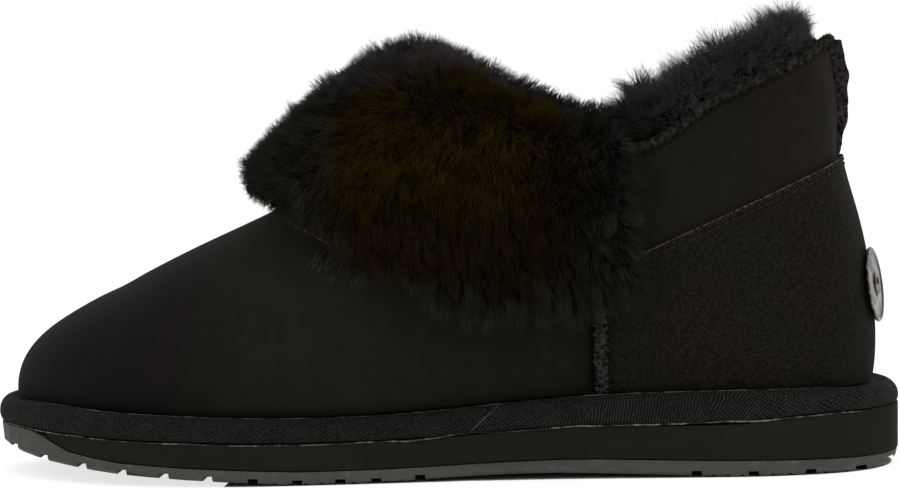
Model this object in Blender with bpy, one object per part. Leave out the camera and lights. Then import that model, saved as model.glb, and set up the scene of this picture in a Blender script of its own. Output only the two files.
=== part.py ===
"""Ankle-high sheepskin slipper boot for the left foot, standing on its sole.

The foot axis runs along +X to the toe, +Y is the wearer's left (the outer side) and +Z is up.
The origin lies on the floor in the middle of the heel tread.

All tables are in millimetres on the size 39 last. A station s is counted forward from the
back of the heel. LENGTH, BALL_WIDTH and BACK_HEIGHT resize the whole boot.
"""
import math
import random
from collections import namedtuple

import bmesh
import bpy
import numpy as np
from mathutils import Matrix, Vector
from mathutils.bvhtree import BVHTree

# Driving dimensions, in millimetres.
LENGTH = 272.0
BALL_WIDTH = 98.0
BACK_HEIGHT = 126.0
HEEL_CENTRE = 36.0
GAP = 0.3

# The last that the tables were drawn on.
LAST_LENGTH = 272.0
LAST_BALL_WIDTH = 98.0
LAST_BACK_HEIGHT = 126.0

OUTER, INNER = 1, -1
SEED = 7
MERGE = 0.02
SHARP = math.radians(40)

# Plan outline of the taped platform: half widths to the outer and the inner side.
Edge = namedtuple("Edge", "s outer inner")
HEEL_TIP_Y = 0.0
TOE_TIP_Y = -9.0
OUTLINE = (
    Edge(3.0, 15.0, 15.0),
    Edge(13.0, 28.5, 28.5),
    Edge(36.0, 37.0, 36.5),
    Edge(62.0, 38.0, 36.5),
    Edge(92.0, 38.0, 34.0),
    Edge(122.0, 40.0, 34.5),
    Edge(152.0, 44.5, 40.0),
    Edge(180.0, 48.3, 47.0),
    Edge(205.0, 48.2, 50.0),
    Edge(230.0, 42.5, 49.0),
    Edge(250.0, 30.5, 43.0),
    Edge(263.0, 16.5, 33.5),
    Edge(270.0, 3.5, 21.0),
)

# Heights of the layers of the sole at their edge.
Level = namedtuple("Level", "s tread rubber foam feather")
LEVELS = (
    Level(0.0, 0.8, 4.0, 17.2, 23.6),
    Level(5.0, 0.0, 4.0, 17.4, 24.4),
    Level(23.0, 0.0, 4.3, 17.3, 25.3),
    Level(43.0, 0.0, 4.6, 15.1, 25.4),
    Level(50.0, 0.0, 4.7, 14.8, 25.3),
    Level(72.0, 0.9, 5.2, 14.8, 25.0),
    Level(87.0, 1.4, 5.6, 14.9, 24.6),
    Level(101.0, 1.8, 5.6, 14.6, 23.6),
    Level(116.0, 1.6, 5.2, 13.6, 22.4),
    Level(134.0, 0.9, 4.5, 12.4, 20.8),
    Level(151.0, 0.0, 4.0, 11.9, 19.8),
    Level(177.0, 0.0, 3.9, 11.7, 19.6),
    Level(194.0, 1.1, 4.8, 11.9, 20.0),
    Level(208.0, 1.9, 5.4, 12.3, 20.6),
    Level(230.0, 3.4, 6.8, 12.9, 21.5),
    Level(246.0, 5.2, 9.6, 13.8, 22.8),
    Level(252.5, 6.0, 13.2, 14.2, 22.9),
    Level(262.0, 7.5, 13.8, 14.8, 22.9),
    Level(272.0, 9.7, 14.5, 15.2, 22.4),
)

# Sole: insets are measured inwards from the taped edge.
SOLE_STATIONS = 34
RUBBER_INSET_TOP = 1.1
RUBBER_INSET_LOW = 1.6
TREAD_INSET = 3.0
TREAD_BEVEL = 1.0
BUMPER_BACK = 252.5
BUMPER_STEP = 0.3
FOAM_INSET_LOW = 1.3
FOAM_INSET_MID = 1.7
FOAM_INSET_TOP = 1.1
NOTCH_WIDTH = 3.0
NOTCH_DEPTH = 1.6
NOTCH_START = 6.0
HEEL_NOTCHES = (2.8, 10.9, 25.3, 41.8, 58.4)
FOREFOOT_NOTCHES = (138.9, 151.6, 161.9, 174.4, 187.3, 200.7, 213.8, 226.7, 239.5, 252.5, 263.8)

# Rounded taped edge of the platform: share of the tape's height against inset.
Bulge = namedtuple("Bulge", "inset height")
TAPE = (
    Bulge(1.6, 0.0),
    Bulge(0.5, 0.08),
    Bulge(0.0, 0.42),
    Bulge(0.7, 0.78),
    Bulge(2.4, 1.0),
    Bulge(4.2, 0.98),
)
PLATFORM_TOP_INSET = 5.4
PLATFORM_TOP_DROP = 1.2

# Footbed of sheepskin inside the upper.
INSOLE_INSET = 12.2
INSOLE_THICK = 6.0
INSOLE_ROUND = 2.2

# Upper: a row for each section from the feather line to the collar edge or the ridge.
# along is the share of the feather line from heel to toe, top_* is where the section ends.
# rise and lean shape its foot; ahead, side and down point from its top back down the wall.
Section = namedtuple("Section", "along top_s top_y top_z rise lean ahead side down")
COLLAR = (
    Section(0.000, 18.8, 0.0, 126.0, 28.0, 5.9, -0.5, 0.0, 33.0),
    Section(0.045, 20.8, 12.5, 124.4, 28.0, 5.7, -0.8, 3.0, 33.0),
    Section(0.090, 28.5, 21.5, 120.0, 28.0, 5.6, -1.0, 5.0, 32.0),
    Section(0.150, 42.2, 28.5, 113.2, 28.0, 4.0, 0.0, 5.0, 30.0),
    Section(0.200, 56.0, 32.0, 105.2, 27.0, 4.0, 0.0, 4.0, 28.0),
    Section(0.250, 70.0, 33.5, 97.0, 26.0, 4.0, 0.0, 4.0, 25.0),
    Section(0.300, 85.0, 33.5, 94.6, 26.0, 4.5, 0.0, 4.0, 25.0),
    Section(0.355, 101.0, 31.0, 97.6, 28.0, 5.0, 0.0, 7.0, 26.0),
    Section(0.410, 117.0, 25.0, 103.6, 32.0, 5.0, 3.0, 12.0, 27.0),
    Section(0.455, 129.5, 14.5, 109.6, 35.0, 5.0, 6.0, 17.0, 23.0),
    Section(0.490, 136.0, 0.0, 113.2, 37.0, 5.0, 10.0, 20.0, 14.0),
)
VAMP = (
    Section(0.490, 136.0, 0.0, 113.2, 37.0, 5.0, 10.0, 20.0, 14.0),
    Section(0.530, 144.0, 0.0, 101.6, 37.0, 5.0, 3.0, 24.0, 4.0),
    Section(0.570, 154.0, -0.5, 93.4, 36.0, 5.0, 0.0, 25.0, 0.0),
    Section(0.620, 169.0, -1.0, 85.2, 34.0, 5.0, 0.0, 25.0, 0.0),
    Section(0.690, 188.0, -2.0, 76.0, 30.0, 5.0, 0.0, 25.0, 0.0),
    Section(0.770, 208.0, -3.2, 67.2, 25.0, 5.0, 1.0, 24.0, 0.5),
    Section(0.860, 226.0, -4.8, 58.4, 19.5, 4.0, 6.0, 19.0, 3.0),
    Section(0.940, 237.5, -6.2, 52.8, 15.5, 2.2, 12.0, 10.0, 6.2),
    Section(1.000, 243.0, -7.0, 49.8, 14.0, 1.4, 13.5, 0.0, 7.0),
)
THROAT = COLLAR[-1].along
# The back of the heel is drawn in above the counter and stands out again under the collar edge.
# forward is how far at the back seam; it fades out along the feather line.
Waist = namedtuple("Waist", "z forward")
HEEL_WAIST = (
    Waist(68.0, 0.0),
    Waist(80.0, 1.2),
    Waist(86.0, 2.0),
    Waist(90.3, 2.3),
    Waist(98.5, 0.4),
    Waist(106.0, -1.2),
    Waist(114.0, -0.9),
    Waist(126.0, 0.0),
)
HEEL_WAIST_END = 0.1
UPPER_COLUMNS = 26
UPPER_ROWS = 12
UPPER_END_SPACING = 0.45
UPPER_INSET_HEEL = 8.8
UPPER_INSET_TOE = 6.4
WALL = 2.5
EDGE_STEP = 0.004

# Overlays on the upper: side-view outlines as (s, z), cut from a skin over the upper.
# ASIDE is a width across the foot past the whole upper.
ASIDE = 80.0
QUARTER_THICK = 1.1
QUARTER_FRONT = 84.3
QUARTER_OUTLINE = (
    (-20.0, 26.0),
    (QUARTER_FRONT, 25.4),
    (QUARTER_FRONT, 61.5),
    (68.6, 68.0),
    (-20.0, 106.4),
)
SEAM_THICK = 1.5
SIDE_SEAM_OUTLINE = (
    (84.8, 25.6),
    (88.8, 25.4),
    (88.8, 58.0),
    (84.8, 58.0),
)
BACK_SEAM_HALF = 1.7
BACK_SEAM_EDGE = (
    (96.5, 15.1),
    (99.9, 14.2),
    (106.1, 13.0),
    (113.8, 13.2),
    (120.6, 13.8),
    (125.2, 14.4),
)

# Fold-over cuff: a row for each section from the front centre to the rear edge of one side.
# hem_* is the foot of the skin; fold and hang are the lengths of the skin's two handles.
Drape = namedtuple("Drape", "turn along hem_s hem_y hem_z fold rise hang out pile")
CUFF = (
    Drape(0.00, 0.490, 184.5, 0.0, 87.5, 10.5, 16.0, 7.0, -7.0, 10.2),
    Drape(0.16, 0.478, 182.0, 15.0, 83.0, 10.5, 15.0, 8.5, -5.0, 10.4),
    Drape(0.30, 0.458, 174.0, 28.0, 74.0, 11.5, 11.5, 15.0, -2.0, 10.8),
    Drape(0.44, 0.430, 161.0, 37.5, 63.5, 11.0, 7.0, 21.0, 0.0, 11.0),
    Drape(0.58, 0.400, 145.0, 41.0, 56.5, 10.0, 2.0, 24.0, 1.0, 10.5),
    Drape(0.70, 0.370, 128.0, 41.0, 51.5, 9.0, 0.0, 26.0, 1.0, 9.4),
    Drape(0.82, 0.338, 108.0, 39.0, 51.0, 7.0, -1.0, 26.0, 1.0, 8.8),
    Drape(0.92, 0.308, 90.0, 37.5, 56.0, 6.0, -0.2, 24.0, 0.5, 8.0),
    Drape(1.00, 0.272, 73.5, 36.5, 66.0, 3.0, 18.0, 18.0, 0.0, 9.4),
)
CUFF_COLUMNS = 20
CUFF_LEG_POINTS = 8
CUFF_STAND_OFF = 2.9
CUFF_FOLD_RISE = 0.9
CUFF_FOLD_OUT = 2.0
CUFF_INNER_DEPTH = 9.0
CUFF_INNER_PILE = 0.6
CUFF_INNER_POINTS = 3
CUFF_HAIR_PAST_HEM = 5.0
CUFF_HEM_SHARE = 0.4
CUFF_TIP_SHARE = 0.45
CUFF_HEM_BANDS = 5
CUFF_FRONT_TURN = 0.3
LOCK_SHORT, LOCK_LONG = 2.0, 4.6
LOCK_FALL = 0.55
CUFF_FALL = Vector((-0.25, 0.0, -1.0))

# Fleece standing above the collar edge round the back: steps across it from its skin side.
# out is away from the foot, up is above the collar edge.
Pile = namedtuple("Pile", "out up")
RIM_SKIN_OUT = -WALL - 0.5
RIM_SECTION = (
    Pile(RIM_SKIN_OUT, -24.0),
    Pile(RIM_SKIN_OUT, -8.0),
    Pile(RIM_SKIN_OUT, 0.4),
    Pile(-0.6, 0.9),
    Pile(0.3, 4.4),
    Pile(-2.0, 11.5),
    Pile(-6.6, 13.0),
    Pile(-11.0, 8.0),
    Pile(-12.5, -5.0),
    Pile(-11.0, -24.0),
)
RIM_SKIN_STEPS = 3
RIM_END = 0.256
RIM_COLUMNS = 15
# Its crest round the collar: shares of the section's height and width, and how far it sits in.
Crest = namedtuple("Crest", "along high wide setback")
RIM_CREST = (
    Crest(0.000, 0.40, 0.80, 5.0),
    Crest(0.060, 0.74, 0.90, 3.0),
    Crest(0.120, 1.00, 1.00, 0.6),
    Crest(0.200, 1.12, 1.00, 0.0),
    Crest(0.256, 1.20, 0.95, 0.0),
)

# Domed metal disc on the heel, a little to the outer side: turned profile of radius against height.
BADGE_HEIGHT = 52.8
BADGE_BACK = 6.75
BADGE_ASIDE = 4.4
BADGE_TILT = math.radians(4.5)
BADGE_TURN = math.radians(9.5)
BADGE_SEGMENTS = 28
BADGE_PROFILE = (
    (0.0, 0.0),
    (10.6, 0.0),
    (11.25, 0.5),
    (11.25, 1.1),
    (10.6, 1.5),
    (9.6, 1.35),
    (9.0, 1.6),
    (5.0, 2.2),
    (3.2, 2.3),
    (2.9, 2.8),
    (2.2, 2.8),
    (1.8, 2.3),
    (0.0, 2.35),
)

SCALE = Vector((LENGTH / LAST_LENGTH, BALL_WIDTH / LAST_BALL_WIDTH, BACK_HEIGHT / LAST_BACK_HEIGHT))
MM = 0.001


def world(s, y, z):
    """A point of the last, in metres in the boot's frame."""
    return Vector(((s - HEEL_CENTRE) * SCALE.x, y * SCALE.y, z * SCALE.z)) * MM


def smooth(at, xs, ys):
    """A cubic through the rows, each row's slope taken from its neighbours."""
    xs = np.asarray(xs, float)
    ys = np.asarray(ys, float)
    slopes = np.gradient(ys, xs)
    i = int(np.clip(np.searchsorted(xs, at) - 1, 0, len(xs) - 2))
    span = xs[i + 1] - xs[i]
    t = (at - xs[i]) / span
    start = (1 + 2 * t) * (1 - t) ** 2 * ys[i] + t * (1 - t) ** 2 * span * slopes[i]
    end = t * t * (3 - 2 * t) * ys[i + 1] + t * t * (t - 1) * span * slopes[i + 1]
    return float(start + end)


def column(rows, name):
    """One named column of a table."""
    return [getattr(row, name) for row in rows]


def level(name, s):
    """Height of one layer of the sole at station s."""
    return float(np.interp(s, column(LEVELS, "s"), column(LEVELS, name)))


def closed_curve(points, steps):
    """A closed Catmull-Rom curve through the points, with steps points for each span."""
    points = np.asarray(points, float)
    ahead = np.roll(points, -1, axis=0)
    span = np.linalg.norm(ahead - points, axis=1)
    span_back = np.roll(span, 1)
    slopes = (ahead - np.roll(points, 1, axis=0)) / (span + span_back)[:, None]
    curve = []
    for i in range(len(points)):
        j = (i + 1) % len(points)
        for t in np.arange(steps) / steps:
            start = (1 + 2 * t) * (1 - t) ** 2 * points[i] + t * (1 - t) ** 2 * span[i] * slopes[i]
            end = t * t * (3 - 2 * t) * points[j] + t * t * (t - 1) * span[i] * slopes[j]
            curve.append(start + end)
    return np.array(curve)


def make_sides(steps=24):
    """The platform outline as dense lines of (s, y, normal s, normal y), heel to toe, by side."""
    outer = [(row.s, row.outer) for row in OUTLINE]
    inner = [(row.s, -row.inner) for row in reversed(OUTLINE)]
    curve = closed_curve([(0.0, HEEL_TIP_Y)] + outer + [(LAST_LENGTH, TOE_TIP_Y)] + inner, steps)
    tangent = np.roll(curve, -1, axis=0) - np.roll(curve, 1, axis=0)
    tangent /= np.linalg.norm(tangent, axis=1)[:, None]
    normal = np.stack([-tangent[:, 1], tangent[:, 0]], axis=1)
    line = np.hstack([curve, normal])
    toe = (len(OUTLINE) + 1) * steps
    return {OUTER: line[:toe + 1], INNER: np.vstack([line[toe:], line[:1]])[::-1]}


SIDES = make_sides()


def edge_at_station(side, s, inset):
    """Plan point on the outline at station s, moved inwards by inset."""
    line = SIDES[side]
    values = [np.interp(s, line[:, 0], line[:, k]) for k in range(4)]
    normal = Vector(values[2:]).normalized()
    return Vector(values[:2]) - normal * inset


def edge_along(side, along, inset):
    """Plan point and outward normal at a share of the line from heel to toe."""
    line = SIDES[side]
    steps = np.linalg.norm(np.diff(line[:, :2], axis=0), axis=1)
    length = np.concatenate([[0.0], np.cumsum(steps)])
    values = [np.interp(along * length[-1], length, line[:, k]) for k in range(4)]
    normal = Vector(values[2:]).normalized()
    return Vector(values[:2]) - normal * inset, normal


def sole_stations(front=LAST_LENGTH, extra=()):
    """Stations of the sole, closer together towards heel and toe."""
    turns = [math.pi * k / SOLE_STATIONS for k in range(SOLE_STATIONS + 1)]
    spread = [LAST_LENGTH / 2 * (1 - math.cos(turn)) for turn in turns]
    return sorted([s for s in spread if s < front - 2.0] + [front] + list(extra))


def sole_ring(stations, inset, height):
    """A ring round the sole: outer points heel to toe, then inner points back, by station."""
    outer = [edge_at_station(OUTER, s, inset) for s in stations]
    inner = [edge_at_station(INNER, s, inset) for s in stations]
    return [world(p.x, p.y, height(p.x)) for p in outer + inner[::-1]]


def loft_sole(stations, rings):
    """A closed solid through rings from the bottom up, capped by strips across the foot."""
    bm = bmesh.new()
    loops = [[bm.verts.new(p) for p in ring] for ring in rings]
    count = len(loops[0])
    for low, high in zip(loops, loops[1:]):
        for k in range(count):
            j = (k + 1) % count
            bm.faces.new((low[k], high[k], high[j], low[j]))
    for loop, up in ((loops[0], False), (loops[-1], True)):
        for k in range(len(stations) - 1):
            face = (loop[k], loop[k + 1], loop[count - 2 - k], loop[count - 1 - k])
            bm.faces.new(reversed(face) if up else face)
    bmesh.ops.remove_doubles(bm, verts=bm.verts, dist=MERGE * MM)
    bmesh.ops.recalc_face_normals(bm, faces=bm.faces)
    return bm


def srgb(red, green, blue):
    """A linear colour from 8-bit display values."""
    return tuple((value / 255) ** 2.2 for value in (red, green, blue)) + (1.0,)


def material(name, colour, roughness, metallic=0.0):
    """A plain Principled material."""
    mat = bpy.data.materials.new(name)
    mat.use_nodes = True
    shader = mat.node_tree.nodes["Principled BSDF"]
    shader.inputs["Base Color"].default_value = colour
    shader.inputs["Roughness"].default_value = roughness
    shader.inputs["Metallic"].default_value = metallic
    return mat


def add_object(name, bm, mat=None):
    """A new object from a bmesh, shaded smooth except at sharp edges."""
    mesh = bpy.data.meshes.new(name)
    bm.to_mesh(mesh)
    bm.free()
    mesh.shade_smooth()
    mesh.set_sharp_from_angle(angle=SHARP)
    obj = bpy.data.objects.new(name, mesh)
    bpy.context.collection.objects.link(obj)
    if mat:
        mesh.materials.append(mat)
    return obj


def add_cutter(name, bm):
    """An object that only cuts others."""
    cutter = add_object(name, bm)
    cutter.hide_render = True
    cutter.display_type = "WIRE"
    return cutter


def cut(obj, cutter, operation):
    """A Boolean modifier with the exact solver."""
    modifier = obj.modifiers.new(operation.lower(), "BOOLEAN")
    modifier.operation = operation
    modifier.solver = "EXACT"
    modifier.object = cutter


def box(bm, low, high):
    """A box between two corners of the last, added to bm."""
    low = world(*low)
    high = world(*high)
    size = high - low
    place = Matrix.Translation((low + high) / 2) @ Matrix.Diagonal((*size, 1))
    bmesh.ops.create_cube(bm, size=1.0, matrix=place)


def make_outsole(mat):
    """Rubber tread unit with a toe bumper, cut by cross notches."""
    stations = sole_stations(extra=(BUMPER_BACK, BUMPER_BACK + BUMPER_STEP))

    def rubber_top(s):
        if s > BUMPER_BACK:
            return level("foam", s)
        return level("rubber", s)

    def side_low(s):
        return level("tread", s) + TREAD_BEVEL

    rings = (
        sole_ring(stations, TREAD_INSET, lambda s: level("tread", s)),
        sole_ring(stations, RUBBER_INSET_LOW, side_low),
        sole_ring(stations, RUBBER_INSET_TOP, rubber_top),
    )
    obj = add_object("outsole", loft_sole(stations, rings), mat)
    bm = bmesh.new()
    reach = BALL_WIDTH
    for s in HEEL_NOTCHES + FOREFOOT_NOTCHES:
        foot = level("tread", s)
        low = (s - NOTCH_WIDTH / 2, -reach, foot - NOTCH_START)
        box(bm, low, (s + NOTCH_WIDTH / 2, reach, foot + NOTCH_DEPTH))
    cut(obj, add_cutter("notches", bm), "DIFFERENCE")
    return obj


def make_midsole(mat):
    """Foam wedge between the tread and the platform, ending behind the toe bumper."""
    stations = sole_stations(front=BUMPER_BACK - GAP)
    rings = (
        sole_ring(stations, FOAM_INSET_LOW, lambda s: level("rubber", s) + GAP),
        sole_ring(stations, FOAM_INSET_MID, lambda s: (level("rubber", s) + level("foam", s)) / 2),
        sole_ring(stations, FOAM_INSET_TOP, lambda s: level("foam", s)),
    )
    return add_object("midsole", loft_sole(stations, rings), mat)


def make_platform(mat):
    """Foot-shaped platform with a rounded edge under wrapped tape."""
    stations = sole_stations()

    def tape_height(share):
        return lambda s: level("foam", s) + GAP + share * (level("feather", s) - level("foam", s) - GAP)

    rings = [sole_ring(stations, row.inset, tape_height(row.height)) for row in TAPE]
    rings.append(sole_ring(stations, PLATFORM_TOP_INSET, platform_top))
    return add_object("platform", loft_sole(stations, rings), mat)


def platform_top(s):
    """Height of the platform inside its rounded edge."""
    return level("feather", s) - PLATFORM_TOP_DROP


def make_insole(mat):
    """Sheepskin footbed lying on the platform."""
    stations = sole_stations()

    def height(rise):
        return lambda s: platform_top(s) + GAP + rise

    rings = (
        sole_ring(stations, INSOLE_INSET, height(0.0)),
        sole_ring(stations, INSOLE_INSET, height(INSOLE_THICK - INSOLE_ROUND)),
        sole_ring(stations, INSOLE_INSET + INSOLE_ROUND, height(INSOLE_THICK)),
    )
    return add_object("insole", loft_sole(stations, rings), mat)


def section_at(along):
    """The upper's section at a share of the feather line, read from its table."""
    rows = COLLAR if along <= THROAT else VAMP
    at = column(rows, "along")
    return Section(along, *[smooth(along, at, column(rows, name)) for name in Section._fields[1:]])


def upper_point(side, along, up):
    """A point of the upper's outer face: up runs from the feather line (0) to the top (1)."""
    row = section_at(along)
    inset = UPPER_INSET_HEEL + (UPPER_INSET_TOE - UPPER_INSET_HEEL) * along
    plan, normal = edge_along(side, along, inset)
    out = side if row.top_y >= 0.0 and along <= THROAT else 1.0
    foot = Vector((plan.x, plan.y, platform_top(plan.x) + GAP))
    knee = foot + Vector((normal.x * row.lean, normal.y * row.lean, row.rise))
    top = Vector((row.top_s, row.top_y * out, row.top_z))
    neck = top + Vector((row.ahead, row.side * side, -row.down))
    weights = ((1 - up) ** 3, 3 * up * (1 - up) ** 2, 3 * up * up * (1 - up), up ** 3)
    point = sum((w * p for w, p in zip(weights, (foot, knee, neck, top))), Vector((0, 0, 0)))
    point.x += heel_waist(along, point.z)
    return world(*point)


def heel_waist(along, z):
    """How far forward the upper is drawn in at a height near the back seam."""
    fade = (1 + math.cos(math.pi * min(along / HEEL_WAIST_END, 1.0))) / 2
    heights = column(HEEL_WAIST, "z")
    held = min(max(z, heights[0]), heights[-1])
    return fade * smooth(held, heights, column(HEEL_WAIST, "forward"))


def upper_alongs():
    """Where the upper's sections stand on the feather line, closer together at heel and toe."""
    shares = [k / UPPER_COLUMNS for k in range(UPPER_COLUMNS + 1)]
    alongs = [t - UPPER_END_SPACING * math.sin(2 * math.pi * t) / (2 * math.pi) for t in shares]
    nearest = min(range(len(alongs)), key=lambda k: abs(alongs[k] - THROAT))
    alongs[nearest] = THROAT
    return alongs


def upper_skin():
    """The upper's outer face as an open mesh, both sides joined at heel, ridge and toe."""
    bm = bmesh.new()
    alongs = upper_alongs()
    for side in (OUTER, INNER):
        grid = [[bm.verts.new(upper_point(side, along, row / UPPER_ROWS)) for row in range(UPPER_ROWS + 1)]
                for along in alongs]
        for left, right in zip(grid, grid[1:]):
            for row in range(UPPER_ROWS):
                face = (left[row], right[row], right[row + 1], left[row + 1])
                bm.faces.new(face if side == INNER else reversed(face))
    bmesh.ops.remove_doubles(bm, verts=bm.verts, dist=MERGE * MM)
    bm.normal_update()
    return bm


def make_upper(mat):
    """Vamp and collar in one hollow shell, open at the collar and underneath."""
    obj = add_object("upper", upper_skin(), mat)
    shell = obj.modifiers.new("wall", "SOLIDIFY")
    shell.thickness = WALL * MM
    shell.offset = -1.0
    return obj


def make_overlay(name, outline, thickness, ends, mat):
    """A skin lying on the upper, cut to a side-view outline between two widths across the foot."""
    bm = upper_skin()
    moved = [v.co + v.normal * GAP * MM for v in bm.verts]
    for vert, place in zip(bm.verts, moved):
        vert.co = place
    obj = add_object(name, bm, mat)
    shell = obj.modifiers.new("wall", "SOLIDIFY")
    shell.thickness = thickness * MM
    shell.offset = 1.0
    cutter = bmesh.new()
    face = cutter.faces.new([cutter.verts.new(world(s, ends[0], z)) for s, z in outline])
    side = bmesh.ops.extrude_face_region(cutter, geom=[face])["geom"]
    across = Vector((0, (ends[1] - ends[0]) * SCALE.y * MM, 0))
    bmesh.ops.translate(cutter, vec=across, verts=[g for g in side if isinstance(g, bmesh.types.BMVert)])
    bmesh.ops.recalc_face_normals(cutter, faces=cutter.faces)
    cut(obj, add_cutter(name + "_outline", cutter), "INTERSECT")
    return obj


def make_back_seam(mat):
    """Raised raw seam of the collar, a fin on the centre line of the back."""
    profile = [upper_point(OUTER, 0.0, k / 60) for k in range(61)]
    heights = [p.z for p in profile]
    backs = [p.x for p in profile]
    outline = [world(s, 0.0, z) for z, s in BACK_SEAM_EDGE]
    for place in reversed(outline[:]):
        outline.append(Vector((float(np.interp(place.z, heights, backs)) - 2 * GAP * MM, 0.0, place.z)))
    bm = bmesh.new()
    half = Vector((0.0, BACK_SEAM_HALF * MM, 0.0))
    face = bm.faces.new([bm.verts.new(p - half) for p in outline])
    side = bmesh.ops.extrude_face_region(bm, geom=[face])["geom"]
    bmesh.ops.translate(bm, vec=half * 2, verts=[g for g in side if isinstance(g, bmesh.types.BMVert)])
    bmesh.ops.recalc_face_normals(bm, faces=bm.faces)
    return add_object("back_seam", bm, mat)


def collar_point(side, along):
    """The collar edge and the level direction away from the foot there, in metres."""
    alongs = upper_alongs()
    near = max(k for k in range(len(alongs) - 1) if alongs[k] <= along)
    share = (along - alongs[near]) / (alongs[near + 1] - alongs[near])
    here = upper_point(side, alongs[near], 1.0).lerp(upper_point(side, alongs[near + 1], 1.0), share)
    if along >= THROAT:
        here = upper_point(side, THROAT, 1.0)
    before = upper_point(side, max(along - EDGE_STEP, 0.0), 1.0)
    after = upper_point(side, min(along + EDGE_STEP, THROAT), 1.0)
    run = (after - before).normalized()
    away = Vector((-run.y, run.x, 0.0)) if side == OUTER else Vector((run.y, -run.x, 0.0))
    if along <= 0.0:
        away = Vector((-1.0, 0.0, 0.0))
    if along >= THROAT:
        away = Vector((1.0, 0.0, 0.0))
    return here, away.normalized()


def cuff_skin(side, turn, tree):
    """Skin side of the cuff from inside the collar, over its edge and down to the hem."""
    at = column(CUFF, "turn")
    row = Drape(turn, *[smooth(turn, at, column(CUFF, name)) for name in Drape._fields[1:]])
    edge, away = collar_point(side, min(row.along, THROAT))
    up = Vector((0.0, 0.0, MM))
    inside = edge - away * (WALL + 2 * GAP) * MM
    line = [
        inside - up * CUFF_INNER_DEPTH,
        inside - up * CUFF_INNER_DEPTH / 2,
        inside + up * CUFF_FOLD_RISE / 2,
        edge - away * WALL / 2 * MM + up * CUFF_FOLD_RISE,
    ]
    start = edge + away * CUFF_FOLD_OUT * MM + up * CUFF_FOLD_RISE
    hem = world(row.hem_s, row.hem_y * side, row.hem_z)
    first = start + away * row.fold * MM + up * row.rise
    blend = min(turn / CUFF_FRONT_TURN, 1.0)
    outward = Vector((1.0 - blend, side * blend, 0.0)).normalized()
    second = hem + outward * row.out * MM + up * row.hang
    for k in range(CUFF_LEG_POINTS):
        t = k / (CUFF_LEG_POINTS - 1)
        weights = ((1 - t) ** 3, 3 * t * (1 - t) ** 2, 3 * t * t * (1 - t), t ** 3)
        point = sum((w * p for w, p in zip(weights, (start, first, second, hem))), Vector((0, 0, 0)))
        line.append(stand_off(point, tree) if k > 0 else point)
    return line, row.pile


def stand_off(point, tree):
    """The point, or where it is pushed out to so that it stands clear of the upper."""
    near, normal, _, _ = tree.find_nearest(point)
    height = (point - near).dot(normal)
    if height >= CUFF_STAND_OFF * MM:
        return point
    return point + normal * (CUFF_STAND_OFF * MM - height)


def grid_normals(grid):
    """Unit normals of a grid of points, away from the foot."""
    normals = []
    for i, line in enumerate(grid):
        left = grid[max(i - 1, 0)]
        right = grid[min(i + 1, len(grid) - 1)]
        row = []
        for k in range(len(line)):
            across = right[k] - left[k]
            down = line[min(k + 1, len(line) - 1)] - line[max(k - 1, 0)]
            row.append(down.cross(across).normalized())
        normals.append(row)
    return normals


def loft_sections(sections):
    """A closed solid through closed sections of equal length, with strips across its two ends."""
    bm = bmesh.new()
    loops = [[bm.verts.new(p) for p in section] for section in sections]
    count = len(loops[0])
    bands = {}
    for i in range(len(loops) - 1):
        for k in range(count):
            j = (k + 1) % count
            bands[i, k] = bm.faces.new((loops[i][k], loops[i + 1][k], loops[i + 1][j], loops[i][j]))
    for loop in (loops[0], loops[-1]):
        for k in range(count // 2 - 1):
            quad = (loop[k], loop[k + 1], loop[count - 2 - k], loop[count - 1 - k])
            bm.faces.new(quad)
        if count % 2:
            bm.faces.new((loop[count // 2 - 1], loop[count // 2], loop[count // 2 + 1]))
    return bm, bands


def raise_locks(bm, faces, fall, rng, tree=None):
    """Turns each face into a pointed lock that leans along fall, clear of the skin in tree."""
    for face in faces:
        height = rng.uniform(LOCK_SHORT, LOCK_LONG) * MM
        lean = fall * LOCK_FALL * height
        normal = face.normal.copy()
        tip = bmesh.ops.poke(bm, faces=[face])["verts"][0]
        place = tip.co + normal * height + lean
        tip.co = stand_off(place, tree) if tree else place
    bm.normal_update()


def make_cuff(mat):
    """Sheepskin cuff folded out over the front of the collar, fleece outwards."""
    skin = upper_skin()
    tree = BVHTree.FromBMesh(skin)
    skin.free()
    turns = [k / CUFF_COLUMNS for k in range(CUFF_COLUMNS + 1)]
    order = [(INNER, t) for t in reversed(turns)] + [(OUTER, t) for t in turns[1:]]
    lines = [cuff_skin(side, turn, tree) for side, turn in order]
    grid = [line for line, _ in lines]
    normals = grid_normals(grid)
    sections = []
    for (line, pile), normal in zip(lines, normals):
        shares = [CUFF_INNER_PILE if k < CUFF_INNER_POINTS else 1.0 for k in range(len(line))]
        hair = [p + n * share * pile * MM for p, n, share in zip(line, normal, shares)]
        past = (line[-1] - line[-2]).normalized() * CUFF_HAIR_PAST_HEM * MM
        hair[-1] += past * CUFF_HEM_SHARE
        tip = line[-1] + normal[-1] * pile * CUFF_TIP_SHARE * MM + past
        sections.append(line + [stand_off(tip, tree)] + hair[::-1])
    bm, bands = loft_sections(sections)
    bmesh.ops.recalc_face_normals(bm, faces=bm.faces)
    skin_bands = len(grid[0]) - 1
    hem = [face for (_, k), face in bands.items() if skin_bands <= k < skin_bands + CUFF_HEM_BANDS]
    rest = [face for (_, k), face in bands.items() if k >= skin_bands + CUFF_HEM_BANDS]
    rng = random.Random(SEED)
    raise_locks(bm, rest, CUFF_FALL, rng)
    raise_locks(bm, hem, CUFF_FALL, rng, tree)
    return add_object("cuff", bm, mat)


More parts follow.
